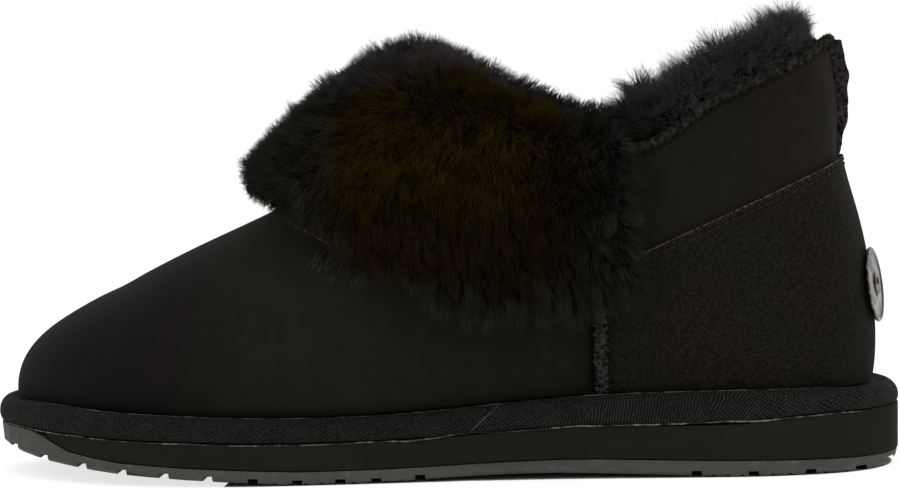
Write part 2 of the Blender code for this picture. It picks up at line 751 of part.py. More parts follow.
def make_collar_fleece(mat):
    """Fleece that stands above the collar edge from side to side round the back."""
    alongs = [RIM_END * k / RIM_COLUMNS for k in range(RIM_COLUMNS + 1)]
    order = [(INNER, a) for a in reversed(alongs)] + [(OUTER, a) for a in alongs[1:]]
    sections = []
    for side, along in order:
        edge, away = collar_point(side, along)
        at = column(RIM_CREST, "along")
        high, wide, setback = [np.interp(along, at, column(RIM_CREST, n)) for n in Crest._fields[1:]]
        section = []
        for step, row in enumerate(RIM_SECTION):
            out = row.out
            rise = row.up
            if step > RIM_SKIN_STEPS:
                out = RIM_SKIN_OUT + (row.out - RIM_SKIN_OUT) * wide
            if step > RIM_SKIN_STEPS and row.up > 0.0:
                out -= setback
                rise *= high
            section.append(edge + away * float(out) * MM + Vector((0.0, 0.0, float(rise) * MM)))
        sections.append(section)
    bm, bands = loft_sections(sections)
    bmesh.ops.recalc_face_normals(bm, faces=bm.faces)
    furry = [face for (_, k), face in bands.items() if RIM_SKIN_STEPS < k < len(RIM_SECTION) - 1]
    raise_locks(bm, furry, Vector((0.0, 0.0, 1.0)), random.Random(SEED + 1))
    return add_object("collar_fleece", bm, mat)


def make_badge(mat):
    """Domed metal disc with a rim and a ring, turned about its own axis."""
    bm = bmesh.new()
    verts = [bm.verts.new((radius * MM, 0.0, height * MM)) for radius, height in BADGE_PROFILE]
    edges = [bm.edges.new(pair) for pair in zip(verts, verts[1:])]
    bmesh.ops.spin(bm, geom=verts + edges, axis=(0, 0, 1), cent=(0, 0, 0), angle=math.tau,
                   steps=BADGE_SEGMENTS, use_merge=True)
    bmesh.ops.remove_doubles(bm, verts=bm.verts, dist=MERGE * MM)
    bmesh.ops.recalc_face_normals(bm, faces=bm.faces)
    obj = add_object("heel_badge", bm, mat)
    obj.location = world(BADGE_BACK, BADGE_ASIDE, BADGE_HEIGHT)
    obj.rotation_euler = (0.0, -math.pi / 2 + BADGE_TILT, -BADGE_TURN)
    return obj


for old in list(bpy.data.objects):
    bpy.data.objects.remove(old, do_unlink=True)

make_outsole(material("rubber", srgb(72, 70, 67), 0.7))
make_midsole(material("foam", srgb(30, 29, 27), 0.85))
make_platform(material("tape", srgb(30, 29, 28), 0.8))
make_insole(material("footbed", srgb(24, 23, 23), 0.95))
suede = material("suede", srgb(27, 25, 25), 0.92)
fleece = material("fleece", srgb(20, 19, 18), 0.95)
make_upper(suede)
rough_suede = material("rough_suede", srgb(24, 23, 20), 0.95)
make_overlay("heel_quarter", QUARTER_OUTLINE, QUARTER_THICK, (-ASIDE, ASIDE), rough_suede)
make_overlay("side_seam_outer", SIDE_SEAM_OUTLINE, SEAM_THICK, (0.0, ASIDE), suede)
make_overlay("side_seam_inner", SIDE_SEAM_OUTLINE, SEAM_THICK, (-ASIDE, 0.0), suede)
make_back_seam(suede)
make_cuff(fleece)
make_collar_fleece(fleece)
make_badge(material("metal", srgb(150, 145, 138), 0.3, 1.0))
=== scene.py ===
"""An ankle-high sheepskin slipper boot for the left foot, dressed piece by piece over its solids.

The foot axis runs along +X to the toe, +Y is the outer side and +Z is up. All sizes are in metres.
"""

import math

import bmesh
import bpy
import numpy as np
from mathutils import Matrix, Quaternion, Vector
from mathutils.bvhtree import BVHTree
from mathutils.kdtree import KDTree


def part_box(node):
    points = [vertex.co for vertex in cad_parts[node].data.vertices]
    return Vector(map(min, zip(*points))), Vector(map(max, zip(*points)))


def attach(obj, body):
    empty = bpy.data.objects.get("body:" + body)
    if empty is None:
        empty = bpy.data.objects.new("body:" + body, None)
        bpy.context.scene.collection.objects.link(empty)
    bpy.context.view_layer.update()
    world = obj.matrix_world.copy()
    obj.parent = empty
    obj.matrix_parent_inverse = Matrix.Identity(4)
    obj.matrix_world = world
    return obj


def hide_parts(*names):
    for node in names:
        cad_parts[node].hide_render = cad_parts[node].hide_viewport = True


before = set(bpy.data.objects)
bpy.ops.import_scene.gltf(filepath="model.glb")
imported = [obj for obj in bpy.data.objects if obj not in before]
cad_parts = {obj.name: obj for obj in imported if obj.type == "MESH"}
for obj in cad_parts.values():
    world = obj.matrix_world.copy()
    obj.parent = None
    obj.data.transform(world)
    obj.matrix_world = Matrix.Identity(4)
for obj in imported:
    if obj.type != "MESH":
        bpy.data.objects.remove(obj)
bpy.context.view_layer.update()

# ---------------------------------------------------------------------------------------------
# The studio: a seamless white floor that runs out of sight, a white surround, three soft lamps,
# and the camera low over the floor, far off with a long lens.
MM = 0.001
FLOOR_SIZE = 60.0
FLOOR_DROP = 0.2 * MM
CAMERA_TURN = math.radians(185.5)
CAMERA_RISE = math.radians(4.5)
CAMERA_ROLL = math.radians(-1.3)
CAMERA_AWAY = 1.493
CAMERA_LENS = 200.0
CAMERA_AIM = Vector((0.0965, 0.0, 0.0655))
PAPER_TONE = 0.38
PAPER_LIGHT = 0.72


def add_object(name, data):
    """A new object for some data, put in the scene."""
    made = bpy.data.objects.new(name, data)
    bpy.context.collection.objects.link(made)
    return made


bpy.ops.mesh.primitive_plane_add(size=FLOOR_SIZE, location=(0.0, 0.0, -FLOOR_DROP))
bpy.ops.object.transform_apply(location=True)
floor = bpy.context.object
floor.name = "studio_floor"
floor_paint = bpy.data.materials.new("white_paper")
floor_paint.use_nodes = True
paper = floor_paint.node_tree.nodes["Principled BSDF"].inputs
paper["Base Color"].default_value = (PAPER_TONE, PAPER_TONE, PAPER_TONE, 1.0)
paper["Emission Color"].default_value = (1.0, 1.0, 1.0, 1.0)
paper["Emission Strength"].default_value = PAPER_LIGHT
paper["Roughness"].default_value = 1.0
paper["Specular IOR Level"].default_value = 0.0
floor.data.materials.append(floor_paint)

surround = bpy.data.worlds.new("surround")
surround.use_nodes = True
surround.node_tree.nodes["Background"].inputs["Color"].default_value = (1.0, 1.0, 1.0, 1.0)
surround.node_tree.nodes["Background"].inputs["Strength"].default_value = 1.0
bpy.context.scene.world = surround
bpy.context.scene.view_settings.view_transform = "Standard"

# Each lamp: where it stands, its width and its power.
LAMPS = {
    "lamp_over": ((0.15, 0.15, 1.5), 1.4, 3.5),
    "lamp_toe": ((0.95, 0.9, 0.8), 0.8, 2.5),
    "lamp_heel": ((-0.7, 0.8, 0.7), 0.7, 3.5),
}
for name, (place, width, power) in LAMPS.items():
    lamp = add_object(name, bpy.data.lights.new(name, "AREA"))
    lamp.data.size = width
    lamp.data.energy = power
    lamp.location = place
    lamp.rotation_euler = (Vector(place) - CAMERA_AIM).to_track_quat("Z", "Y").to_euler()

camera = add_object("camera", bpy.data.cameras.new("camera"))
camera.data.lens = CAMERA_LENS
camera.data.clip_end = 100.0
level = math.cos(CAMERA_RISE)
away = Vector((math.sin(CAMERA_TURN) * level, -math.cos(CAMERA_TURN) * level, math.sin(CAMERA_RISE)))
camera.rotation_mode = "QUATERNION"
camera.rotation_quaternion = away.to_track_quat("Z", "Y") @ Quaternion((0, 0, 1), CAMERA_ROLL)
camera.location = CAMERA_AIM + away * CAMERA_AWAY
bpy.context.scene.camera = camera

# ---------------------------------------------------------------------------------------------
# Outsole: one moulding of dark grey rubber with a bumper at the toe. Cross slots part the lugs,
# and a fine chevron is cut into each lug's face. It is cemented under the foam.
RUBBER_EDGE = 0.35 * MM
CHEVRON_PITCH = 4.2 * MM
CHEVRON_WIDE = 1.1 * MM
CHEVRON_DEEP = 0.7 * MM
CHEVRON_TURN = math.radians(28)
# A chevron's arms run forwards, so the row ends this many pitches before the toe's end.
CHEVRON_SPARE = 6
HEEL_SLOT_AT = Vector((-0.0330, 0.0, 1.2 * MM))
HEEL_SLOT_WIDE = 1.5 * MM
HEEL_SLOT_HIGH = 2.8 * MM
CUT_OVER = 1.2
# Where the sole's layers begin to be drawn out behind the heel, and where they are so in full.
HEEL_CURVE = (-0.018, -0.033)
RUBBER_MORE = 0.6 * MM


def linear(red, green, blue):
    """A linear colour from 8-bit display values."""
    return tuple((value / 255) ** 2.2 for value in (red, green, blue)) + (1.0,)


class Wire:
    """A node socket. Sums and products of wires add Math nodes to their material."""

    def __init__(self, tree, socket):
        self.tree = tree
        self.socket = socket

    def node(self, kind, settings=None, feeds=None, out=0):
        """Adds any other node: its settings first, then the values or wires of its sockets."""
        made = self.tree.nodes.new(kind)
        for name, value in (settings or {}).items():
            setattr(made, name, value)
        for name, value in (feeds or {}).items():
            if isinstance(value, Wire):
                self.tree.links.new(value.socket, made.inputs[name])
            else:
                made.inputs[name].default_value = value
        return Wire(self.tree, made.outputs[out])

    def math_node(self, operation, first, second):
        return self.node("ShaderNodeMath", {"operation": operation}, {0: first, 1: second})

    def __add__(self, other):
        return self.math_node("ADD", self, other)

    def __radd__(self, other):
        return self.math_node("ADD", other, self)

    def __sub__(self, other):
        return self.math_node("SUBTRACT", self, other)

    def __rsub__(self, other):
        return self.math_node("SUBTRACT", other, self)

    def __mul__(self, other):
        return self.math_node("MULTIPLY", self, other)

    def __rmul__(self, other):
        return self.math_node("MULTIPLY", other, self)


def new_finish(name, roughness, gloss, **plain):
    """A material with its plain values set, its shader's sockets and the piece's coordinates."""
    plain.update(Roughness=roughness, Specular_IOR_Level=gloss)
    made = bpy.data.materials.new(name)
    made.use_nodes = True
    tree = made.node_tree
    sockets = tree.nodes["Principled BSDF"].inputs
    for title, value in plain.items():
        sockets[title.replace("_", " ")].default_value = value
    coordinates = tree.nodes.new("ShaderNodeTexCoord")
    return made, sockets, Wire(tree, coordinates.outputs["Object"])


def fibre(place, scale, detail=3.0, roughness=0.55):
    """Cloudy noise over the piece, about 1/scale metres across."""
    return place.node(
        "ShaderNodeTexNoise", None,
        {"Vector": place, "Scale": scale, "Detail": detail, "Roughness": roughness})


def axis_of(place, number):
    """One coordinate of a place: 0 along the foot, 1 across it and 2 up."""
    return place.node("ShaderNodeSeparateXYZ", None, {"Vector": place}, number)


def painted(place, name):
    """A value that is painted on a piece's points."""
    return place.node("ShaderNodeAttribute", {"attribute_name": name}, out="Fac")


def between(value, low, high):
    """The value's soft run from nothing at low to one at high."""
    return value.node(
        "ShaderNodeMapRange", {"interpolation_type": "SMOOTHSTEP"},
        {"Value": value, "From Min": low, "From Max": high})


def tint(mask, low, high):
    """A colour from low to high by the mask. Each end is a wire or 8-bit display values."""
    low, high = (end if isinstance(end, Wire) else linear(*end) for end in (low, high))
    return mask.node("ShaderNodeMix", {"data_type": "RGBA"}, {0: mask, 6: low, 7: high}, 2)


def raised(height, distance):
    """The surface's normal over a relief of that height in metres."""
    return height.node("ShaderNodeBump", None, {"Height": height, "Distance": distance, "Strength": 1.0})


def feed(sockets, **wires):
    """Plugs wires into the shader's sockets."""
    for title, wire in wires.items():
        wire.tree.links.new(wire.socket, sockets[title.replace("_", " ")])


def pick(piece):
    """Selects one piece alone and makes it active."""
    bpy.ops.object.select_all(action="DESELECT")
    piece.select_set(True)
    bpy.context.view_layer.objects.active = piece


def take(node, name):
    """A copy of a solid with its loose triangles merged and paired into quads."""
    piece = add_object(name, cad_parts[node].data.copy())
    piece.data.materials.clear()
    pick(piece)
    bpy.ops.object.mode_set(mode="EDIT")
    bpy.ops.mesh.select_all(action="SELECT")
    bpy.ops.mesh.remove_doubles(threshold=0.001 * MM)
    pairing = math.radians(60)
    bpy.ops.mesh.tris_convert_to_quads(face_threshold=pairing, shape_threshold=pairing)
    bpy.ops.mesh.mark_sharp(clear=True)
    bpy.ops.object.mode_set(mode="OBJECT")
    return piece


def work(piece, kind, **settings):
    """Adds a modifier and applies it."""
    pick(piece)
    made = piece.modifiers.new(kind.lower(), kind)
    for title, value in settings.items():
        setattr(made, title, value)
    bpy.ops.object.modifier_apply(modifier=made.name)


def soften(piece, width, degrees):
    """Rounds the edges of a piece that are sharper than an angle."""
    work(piece, "BEVEL", width=width, segments=2, limit_method="ANGLE", angle_limit=math.radians(degrees))


def refine(piece, levels):
    """Rounds a piece with subdivision surfaces."""
    work(piece, "SUBSURF", levels=levels, render_levels=levels)


def smooth_shade(piece, degrees=40.0):
    """Shades a piece smooth except over sharp edges."""
    pick(piece)
    bpy.ops.object.shade_smooth_by_angle(angle=math.radians(degrees))


def points_of(piece):
    """A piece's vertices as an array."""
    places = np.empty(len(piece.data.vertices) * 3)
    piece.data.vertices.foreach_get("co", places)
    return places.reshape(-1, 3)


def place_points(piece, places):
    """Moves a piece's vertices to an array of places."""
    piece.data.vertices.foreach_set("co", places.ravel())
    piece.data.update()


def normals_of(piece):
    """A piece's vertex normals as an array."""
    normals = np.empty(len(piece.data.vertices) * 3)
    piece.data.vertex_normals.foreach_get("vector", normals)
    return normals.reshape(-1, 3)


def ramp(values, start, full):
    """The share from nothing at start to one at full, held beyond both."""
    return np.clip((values - start) / (full - start), 0, 1)


def draw_heel_out(piece, most):
    """Lengthens a layer of the sole a little behind the heel."""
    places = points_of(piece)
    share = ramp(places[:, 0], *HEEL_CURVE)
    places[:, 0] -= share * share * most
    place_points(piece, places)


def settle(piece, finish, slot, *nodes):
    """Gives a finished piece its material, its place on the boot and the solids it stands for."""
    piece.data.materials.clear()
    piece.data.materials.append(finish)
    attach(piece, "root")
    if nodes:
        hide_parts(*nodes)


rubber, sockets, place = new_finish("dark_rubber", 0.6, 0.12)
clouds = fibre(place, 60.0, 4.0)
grain = fibre(place, 1800.0, 3.0, 0.7)
dust = between(fibre(place, 240.0, 4.0, 0.7), 0.5, 0.75)
grey = tint(clouds, (56, 54, 51), (70, 68, 64))
feed(sockets,
     Base_Color=tint(dust * 0.35, grey, (92, 89, 84)),
     Roughness=0.55 + clouds * 0.22,
     Normal=raised(grain + clouds * 0.6, 0.12 * MM))

low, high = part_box("outsole")


def block(wide, tall, at):
    """A bar across the whole sole, for cutting a slot."""
    bpy.ops.mesh.primitive_cube_add(size=1.0, location=at)
    made = bpy.context.object
    made.scale = (wide, (high.y - low.y) * CUT_OVER, tall)
    bpy.ops.object.transform_apply(location=False, scale=True)
    return made


def cut(piece, tool):
    """Cuts a tool out of a piece and removes the tool."""
    pick(tool)
    bpy.ops.object.transform_apply(location=True)
    work(piece, "BOOLEAN", object=tool, operation="DIFFERENCE", solver="EXACT")
    bpy.data.objects.remove(tool)


outsole = take("outsole", "rubber_outsole")
groove = block(CHEVRON_WIDE, CHEVRON_DEEP * 2, (low.x, 0.0, 0.0))
bpy.ops.object.mode_set(mode="EDIT")
bpy.ops.mesh.subdivide(number_cuts=1)
bpy.ops.object.mode_set(mode="OBJECT")
for vertex in groove.data.vertices:
    vertex.co.x += abs(vertex.co.y) * math.tan(CHEVRON_TURN)
grooves = int((high.x - low.x) / CHEVRON_PITCH) - CHEVRON_SPARE
work(groove, "ARRAY", count=grooves, use_relative_offset=False,
     use_constant_offset=True, constant_offset_displace=(CHEVRON_PITCH, 0.0, 0.0))
cut(outsole, groove)
cut(outsole, block(HEEL_SLOT_WIDE, HEEL_SLOT_HIGH, HEEL_SLOT_AT))
draw_heel_out(outsole, RUBBER_MORE)
soften(outsole, RUBBER_EDGE, 35)
smooth_shade(outsole)
settle(outsole, rubber, "rubber", "outsole")

# ---------------------------------------------------------------------------------------------
# Midsole: a wedge of black closed-cell foam, ground to shape, so its side is dull and finely
# pored with a few light scuffs. It is cemented between the rubber and the taped platform.
FOAM_EDGE = 0.2 * MM
FOAM_MORE = 1.1 * MM
# Behind the heel the foam's side is full: how much, from where to where, and at what height.
FOAM_FULL = 0.5 * MM
FOAM_FULL_FROM = (-0.020, -0.032)
FOAM_MIDDLE = 0.0106
FOAM_HALF = 3.0 * MM
FOAM_UP = 0.5 * MM
FACING_UP = 0.3

foam, sockets, place = new_finish("black_foam", 0.8, 0.04)
pores = place.node("ShaderNodeTexVoronoi", None, {"Vector": place, "Scale": 1500.0})
clouds = fibre(place, 45.0, 5.0, 0.6)
scuffs = between(fibre(place, 400.0, 5.0, 0.75), 0.6, 0.78)
black = tint(clouds, (25, 24, 21), (35, 34, 30))
feed(sockets,
     Base_Color=tint(scuffs * 0.3, black, (62, 60, 56)),
     Roughness=0.72 + clouds * 0.2,
     Normal=raised(pores + clouds, 0.06 * MM))

midsole = take("midsole", "foam_wedge")
draw_heel_out(midsole, FOAM_MORE)
places = points_of(midsole)
full = ramp(places[:, 0], *FOAM_FULL_FROM) * ramp(abs(places[:, 2] - FOAM_MIDDLE), FOAM_HALF, 0.0)
places[:, 0] -= full * FOAM_FULL
places[:, 2] += (normals_of(midsole)[:, 2] > FACING_UP) * FOAM_UP
place_points(midsole, places)
soften(midsole, FOAM_EDGE, 40)
smooth_shade(midsole, 50.0)
settle(midsole, foam, "foam", "midsole")

# ---------------------------------------------------------------------------------------------
# Platform: a soft foam board whose edge is wrapped in black twill tape, drawn tight round the
# outline so that its ribs lean differently all the way round. It is lapped on the outer side,
# and a fine waxed thread runs along its lower edge.
OUTLINE_BINS = 240
OUTLINE_STEPS = 1400
SOLE_STRETCH = 0.36
# How the tape's ribs run from heel to toe: place, ribs to the metre along the tape, their lean.
TWILL_RUN = (
    (-0.036, 560.0, -1.9), (-0.004, 650.0, -1.5), (0.012, 1000.0, -0.7), (0.030, 1120.0, -0.15),
    (0.055, 1120.0, -0.1), (0.074, 1050.0, -0.6), (0.0862, 900.0, -0.9), (0.0868, 1150.0, 0.6),
    (0.150, 1250.0, 0.8), (0.185, 1200.0, 0.5), (0.208, 1100.0, 0.3), (0.220, 800.0, -1.4),
    (0.236, 800.0, -1.8),
)
TAPE_MORE = 0.5 * MM
TAPE_TURN = 6.0 * MM
PICK_PITCH = 0.9
LAP_AT = 0.0865
LAP_HEIGHT = 0.016
LAP_SLANT = 1.1
THREAD_THICK = 0.24 * MM
THREAD_UNDER, THREAD_NEAR = 2.4 * MM, 1.4 * MM
THREAD_DROP = 0.75 * MM
THREAD_SWAY = 0.1 * MM
THREAD_STEPS = 900
THREAD_STITCH = 3.4 * MM
# A painted shadow: the paper under the sole is in its shade and gives no light of its own, so the glowing
# floor is dark there.
SHADE_STEPS = 200
SHADE_INSET = 2.0 * MM
SHADE_END = 0.160


def lengths_of(line):
    """How far along a line each of its points is."""
    return np.concatenate([[0.0], np.cumsum(np.linalg.norm(np.diff(line, axis=0), axis=1))])


def at_length(lengths, values, at):
    """The places or normals of a line at some lengths along it."""
    return np.stack([np.interp(at, lengths, values[:, k]) for k in range(3)], axis=-1)


def evenly(line, steps):
    """The same line with even steps."""
    lengths = lengths_of(line)
    return at_length(lengths, line, np.linspace(0.0, lengths[-1], steps))


def relaxed(ring, times):
    """A closed line with its small bends smoothed away."""
    for _ in range(times):
        ring = (np.roll(ring, 1, axis=0) + ring * 2 + np.roll(ring, -1, axis=0)) / 4
    return ring


def inwards_of(ahead):
    """The way into the sole in plan, square to each step of a line round it."""
    return np.stack([-ahead[:, 1], ahead[:, 0]], axis=1) / np.linalg.norm(ahead[:, :2], axis=1)[:, None]


def look_up(table, at):
    """A table's second column, read at some values of its first."""
    table = np.array(table)
    return np.interp(at, table[:, 0], table[:, 1])


def spread(values, steps, every):
    """Values that hold at every so many steps, with straight runs between them."""
    return np.interp(np.arange(steps), np.arange(len(values)) * every, values)


def ring_round(places, steps):
    """The outermost of some places all round the sole, as an even closed line in plan."""
    middle = (places.min(axis=0) + places.max(axis=0)) / 2
    flat = places - middle
    turns = np.arctan2(flat[:, 1], flat[:, 0] * SOLE_STRETCH)
    reaches = np.hypot(flat[:, 0] * SOLE_STRETCH, flat[:, 1])
    bins = ((turns + math.pi) / (2 * math.pi) * OUTLINE_BINS).astype(int) % OUTLINE_BINS
    order = np.lexsort((reaches, bins))
    outermost = order[np.append(np.diff(bins[order]) > 0, True)]
    ring = relaxed(places[outermost], 2)
    return evenly(np.vstack([ring, ring[:1]]), steps + 1)[:-1]


def nearest_on(ring, places):
    """Number of the ring's nearest step in plan, and how far off it is, for each place."""
    tree = KDTree(len(ring))
    for number, spot in enumerate(ring):
        tree.insert((spot[0], spot[1], 0.0), number)
    tree.balance()
    found = [tree.find((spot[0], spot[1], 0.0)) for spot in places]
    return np.array([hit[1] for hit in found]), np.array([hit[2] for hit in found])


platform = take("platform", "taped_platform")
draw_heel_out(platform, TAPE_MORE)
refine(platform, 2)
places = points_of(platform)
ring = ring_round(places, OUTLINE_STEPS)
steps, inset = nearest_on(ring, places)
step_long = np.linalg.norm(ring[1] - ring[0])
rise = places[:, 2] - ring[steps, 2]
across_tape = rise + np.sign(rise) * np.minimum(inset, TAPE_TURN)
phase = np.cumsum(look_up(TWILL_RUN, ring[:, 0])) * step_long
all_round = math.ceil(phase[-1])
phase *= all_round / phase[-1]
# The tape's own coordinates: ribs passed and millimetres across. A face that spans the place where
# the count starts again keeps to its first corner's count.
layer = platform.data.uv_layers.new(name="tape")
loops = np.empty(len(platform.data.loops), int)
platform.data.loops.foreach_get("vertex_index", loops)
starts = np.empty(len(platform.data.polygons), int)
platform.data.polygons.foreach_get("loop_start", starts)
face_of = np.searchsorted(starts, np.arange(len(loops)), side="right") - 1
turns = phase[steps][loops]
lead = turns[starts[face_of]]
turns -= np.round((turns - lead) / all_round) * all_round
sheared = places[:, 0] + (places[:, 2] - LAP_HEIGHT) * LAP_SLANT * (places[:, 1] > 0)
run = np.array(TWILL_RUN)
turns += (np.interp(sheared, run[:, 0], run[:, 1] * run[:, 2]) * across_tape)[loops]
layer.data.foreach_set("uv", np.stack([turns, across_tape[loops] / MM], axis=1).ravel())

tape, sockets, place = new_finish("twill_tape", 0.8, 0.05)
flat_place = place.node("ShaderNodeUVMap", {"uv_map": "tape"})
ribs_on = axis_of(flat_place, 0)
picks_on = axis_of(flat_place, 1)
fuzz = fibre(place, 1300.0, 3.0, 0.7)
warp = fibre(place, 260.0, 2.0)
worn = fibre(place, 150.0, 3.0, 0.6)
ribs_on_skew = (ribs_on + warp * 0.9 + fuzz * 0.3) * (2 * math.pi)
picks_on_skew = (picks_on + ribs_on * 0.5 + fuzz * 0.6) * (2 * math.pi / PICK_PITCH)
ridge = place.node("ShaderNodeMath", {"operation": "SINE"}, {0: ribs_on_skew})
picks = place.node("ShaderNodeMath", {"operation": "SINE"}, {0: picks_on_skew})
weave = ridge * (fuzz * 1.4 + picks * 0.55 + worn * 0.8 - 0.6) + picks * 0.2 + fuzz * 1.8 + worn * 0.7 - 0.76
outer_side = between(axis_of(place, 1), 0.0, 1 * MM)
lap_from = axis_of(place, 0) + axis_of(place, 2) * LAP_SLANT - (LAP_AT + LAP_HEIGHT * LAP_SLANT)
lap = between(lap_from, 0.25 * MM, -0.25 * MM) * outer_side
# A painted highlight: a pale line along the lap's edge on the outer side.
lap_highlight = between(lap_from, -0.55 * MM, -0.2 * MM) * between(lap_from, 0.25 * MM, 0.05 * MM) * outer_side
ribbed = tint(between(weave, 0.0, 1.2), (9, 9, 9), (52, 50, 49))
feed(sockets,
     Base_Color=tint(lap_highlight * 0.5, ribbed, (92, 90, 88)),
     Normal=raised(weave + lap * 1.6, 0.22 * MM))
smooth_shade(platform, 60.0)
settle(platform, tape, "tape", "platform")


def mottled(name, roughness, gloss, noise, span, dark, light, relief):
    """A finish with one noise, that gives both its colour from dark to light and its relief."""
    made, sockets, place = new_finish(name, roughness, gloss)
    grain = fibre(place, *noise)
    mask = between(grain, *span) if span else grain
    feed(sockets, Base_Color=tint(mask, dark, light), Normal=raised(grain, relief))
    return made


# Waxed thread, dark with pale patches, and the pale patches are painted highlights. The same finish colours
# the painted highlight cord along the tape's top edge.
thread_and_highlight_finish = mottled(
    "waxed_thread_and_highlight", 0.55, 0.12, (120.0, 4.0, 0.7), (0.4, 0.66), (28, 27, 25), (96, 94, 90), 0.1 * MM)


def cord_along(name, path, radius, swell, closed=False, sides=6):
    """A round cord of a given radius along a path. swell scales the radius at each step."""
    shape = bpy.data.curves.new(name, "CURVE")
    shape.dimensions = "3D"
    shape.bevel_depth = radius
    shape.bevel_resolution = max((sides - 4) // 2, 0)
    shape.use_fill_caps = not closed
    spline = shape.splines.new("POLY")
    spline.points.add(len(path) - 1)
    spline.points.foreach_set("co", np.hstack([path, np.ones((len(path), 1))]).ravel())
    spline.points.foreach_set("radius", swell)
    spline.use_cyclic_u = closed
    pick(add_object(name, shape))
    bpy.ops.object.convert(target="MESH")
    bpy.ops.object.shade_smooth()
    return bpy.context.object


rng = np.random.default_rng(3)
lower = (rise < -THREAD_UNDER) & (inset < THREAD_NEAR)
path = ring_round(places[lower], THREAD_STEPS)
path[:, 2] += spread(rng.normal(0.0, THREAD_SWAY, THREAD_STEPS // 6), THREAD_STEPS, 6) - THREAD_DROP
along = np.arange(THREAD_STEPS) * np.linalg.norm(path[1] - path[0])
swell = 0.6 + 0.5 * np.clip(1.5 * np.sin(along / THREAD_STITCH * 2 * math.pi) + 0.9, 0, 1)
swell *= rng.uniform(0.7, 1.15, THREAD_STEPS)
swell *= spread(rng.uniform(0.6, 1.2, THREAD_STEPS // 20), THREAD_STEPS, 20)
thread = cord_along("tape_thread", path, THREAD_THICK, swell, closed=True)
settle(thread, thread_and_highlight_finish, "tape")

# The painted shadow: an unlit sheet just over the floor, a little inside the sole's outline and stopping
# short of the toe.
shade_line = ring_round(places, SHADE_STEPS)
shade_line[:, :2] += inwards_of(shade_line - np.roll(shade_line, 1, axis=0)) * SHADE_INSET
shade_line[:, 2] = -FLOOR_DROP * 0.5
shade_line[:, 0] = np.minimum(shade_line[:, 0], SHADE_END)
mesh = bpy.data.meshes.new("painted_shadow_under_sole")
mesh.from_pydata([tuple(spot) for spot in shade_line], [], [tuple(range(SHADE_STEPS))])
shade = add_object("painted_shadow_under_sole", mesh)
unlit_paper = floor_paint.copy()
unlit_paper.node_tree.nodes["Principled BSDF"].inputs["Emission Strength"].default_value = 0.0
mesh.materials.append(unlit_paper)

# ---------------------------------------------------------------------------------------------
# Footbed: a sheepskin sock glued on the platform, pile upwards. Its skin is hidden, its short
# dense hair shows through the collar.
SOCK_HAIR = 3.6 * MM
SOCK_HAIR_WIDE = 0.5 * MM
SOCK_HAIRS = 6000
SOCK_END = 0.16
STRAY_SHARE = 0.03
LOCK_PULL = 4 * MM
LOCK_TONE = 0.65
# Where the cuff's fleece is brown: its fade from below and above, from heel and toe, and sideways.
BROWN_FOOT, BROWN_TOP = (0.062, 0.073), (0.142, 0.120)
BROWN_HEEL, BROWN_TOE = (0.055, 0.075), (0.150, 0.130)
BROWN_SIDE = (0.018, 0.028)
BROWN_PALER = (0.066, 0.096)
# Where painted highlights make it pale: high up behind the cuff, on the cuff's fold, and on the collar's
# inner side.
PALE_REAR, PALE_REAR_HIGH = (0.048, 0.036), (0.106, 0.122)
PALE_FOLD, PALE_FOLD_HIGH = (0.070, 0.090), (0.116, 0.130)
PALE_INSIDE, PALE_INSIDE_HIGH, PALE_INSIDE_FROM = (0.015, 0.0), (0.080, 0.090), (0.048, 0.056)
TOE_SIDE = (0.105, 0.135)

wool, sockets, place = new_finish("black_fleece", 0.8, 0.02)
tone = painted(place, "tone")
tip = painted(place, "tip")
tuft = fibre(place, 90.0, 3.0)
along_foot = axis_of(place, 0)
across_foot = axis_of(place, 1)
height = axis_of(place, 2)
drift = fibre(place, 45.0, 2.0) * 0.02
strength = tone * 0.6 + tip * 0.3 + tuft * 0.2
grey = tint(strength + tip * 0.1 + between(along_foot, *TOE_SIDE) * 0.1 - 0.08,
            (5, 5, 4), (48, 47, 42))
# The painted highlight colour, pale and a little purple.
pale = tint(strength + tip * 0.2, (11, 11, 11), (65, 61, 63))
brown = tint(between(height, *BROWN_PALER),
             tint(strength, (17, 13, 1), (40, 31, 2)),
             tint(strength, (32, 25, 1), (54, 43, 3)))
is_highlit = between(along_foot, *PALE_REAR) * between(height + drift, *PALE_REAR_HIGH)
is_highlit = is_highlit + between(height + drift, *PALE_FOLD_HIGH) * between(along_foot, *PALE_FOLD) * 0.6
is_highlit = is_highlit + (between(height, *PALE_INSIDE_HIGH) * between(across_foot, *PALE_INSIDE)
                     * between(along_foot, *PALE_INSIDE_FROM))
is_brown = between(height + drift, *BROWN_FOOT) * between(height + drift, *BROWN_TOP)
is_brown = is_brown * between(along_foot + drift, *BROWN_HEEL) * between(along_foot + drift, *BROWN_TOE)
is_brown = is_brown * between(across_foot, *BROWN_SIDE)
feed(sockets,
     Base_Color=tint(is_brown * 0.9, tint(is_highlit, grey, pale), brown),
     Roughness=0.6 + tone * 0.2)

wool_skin = mottled(
    "fleece_skin", 0.95, 0.05, (500.0, 4.0, 0.7), None, (4, 4, 4), (16, 15, 14), 1.2 * MM)


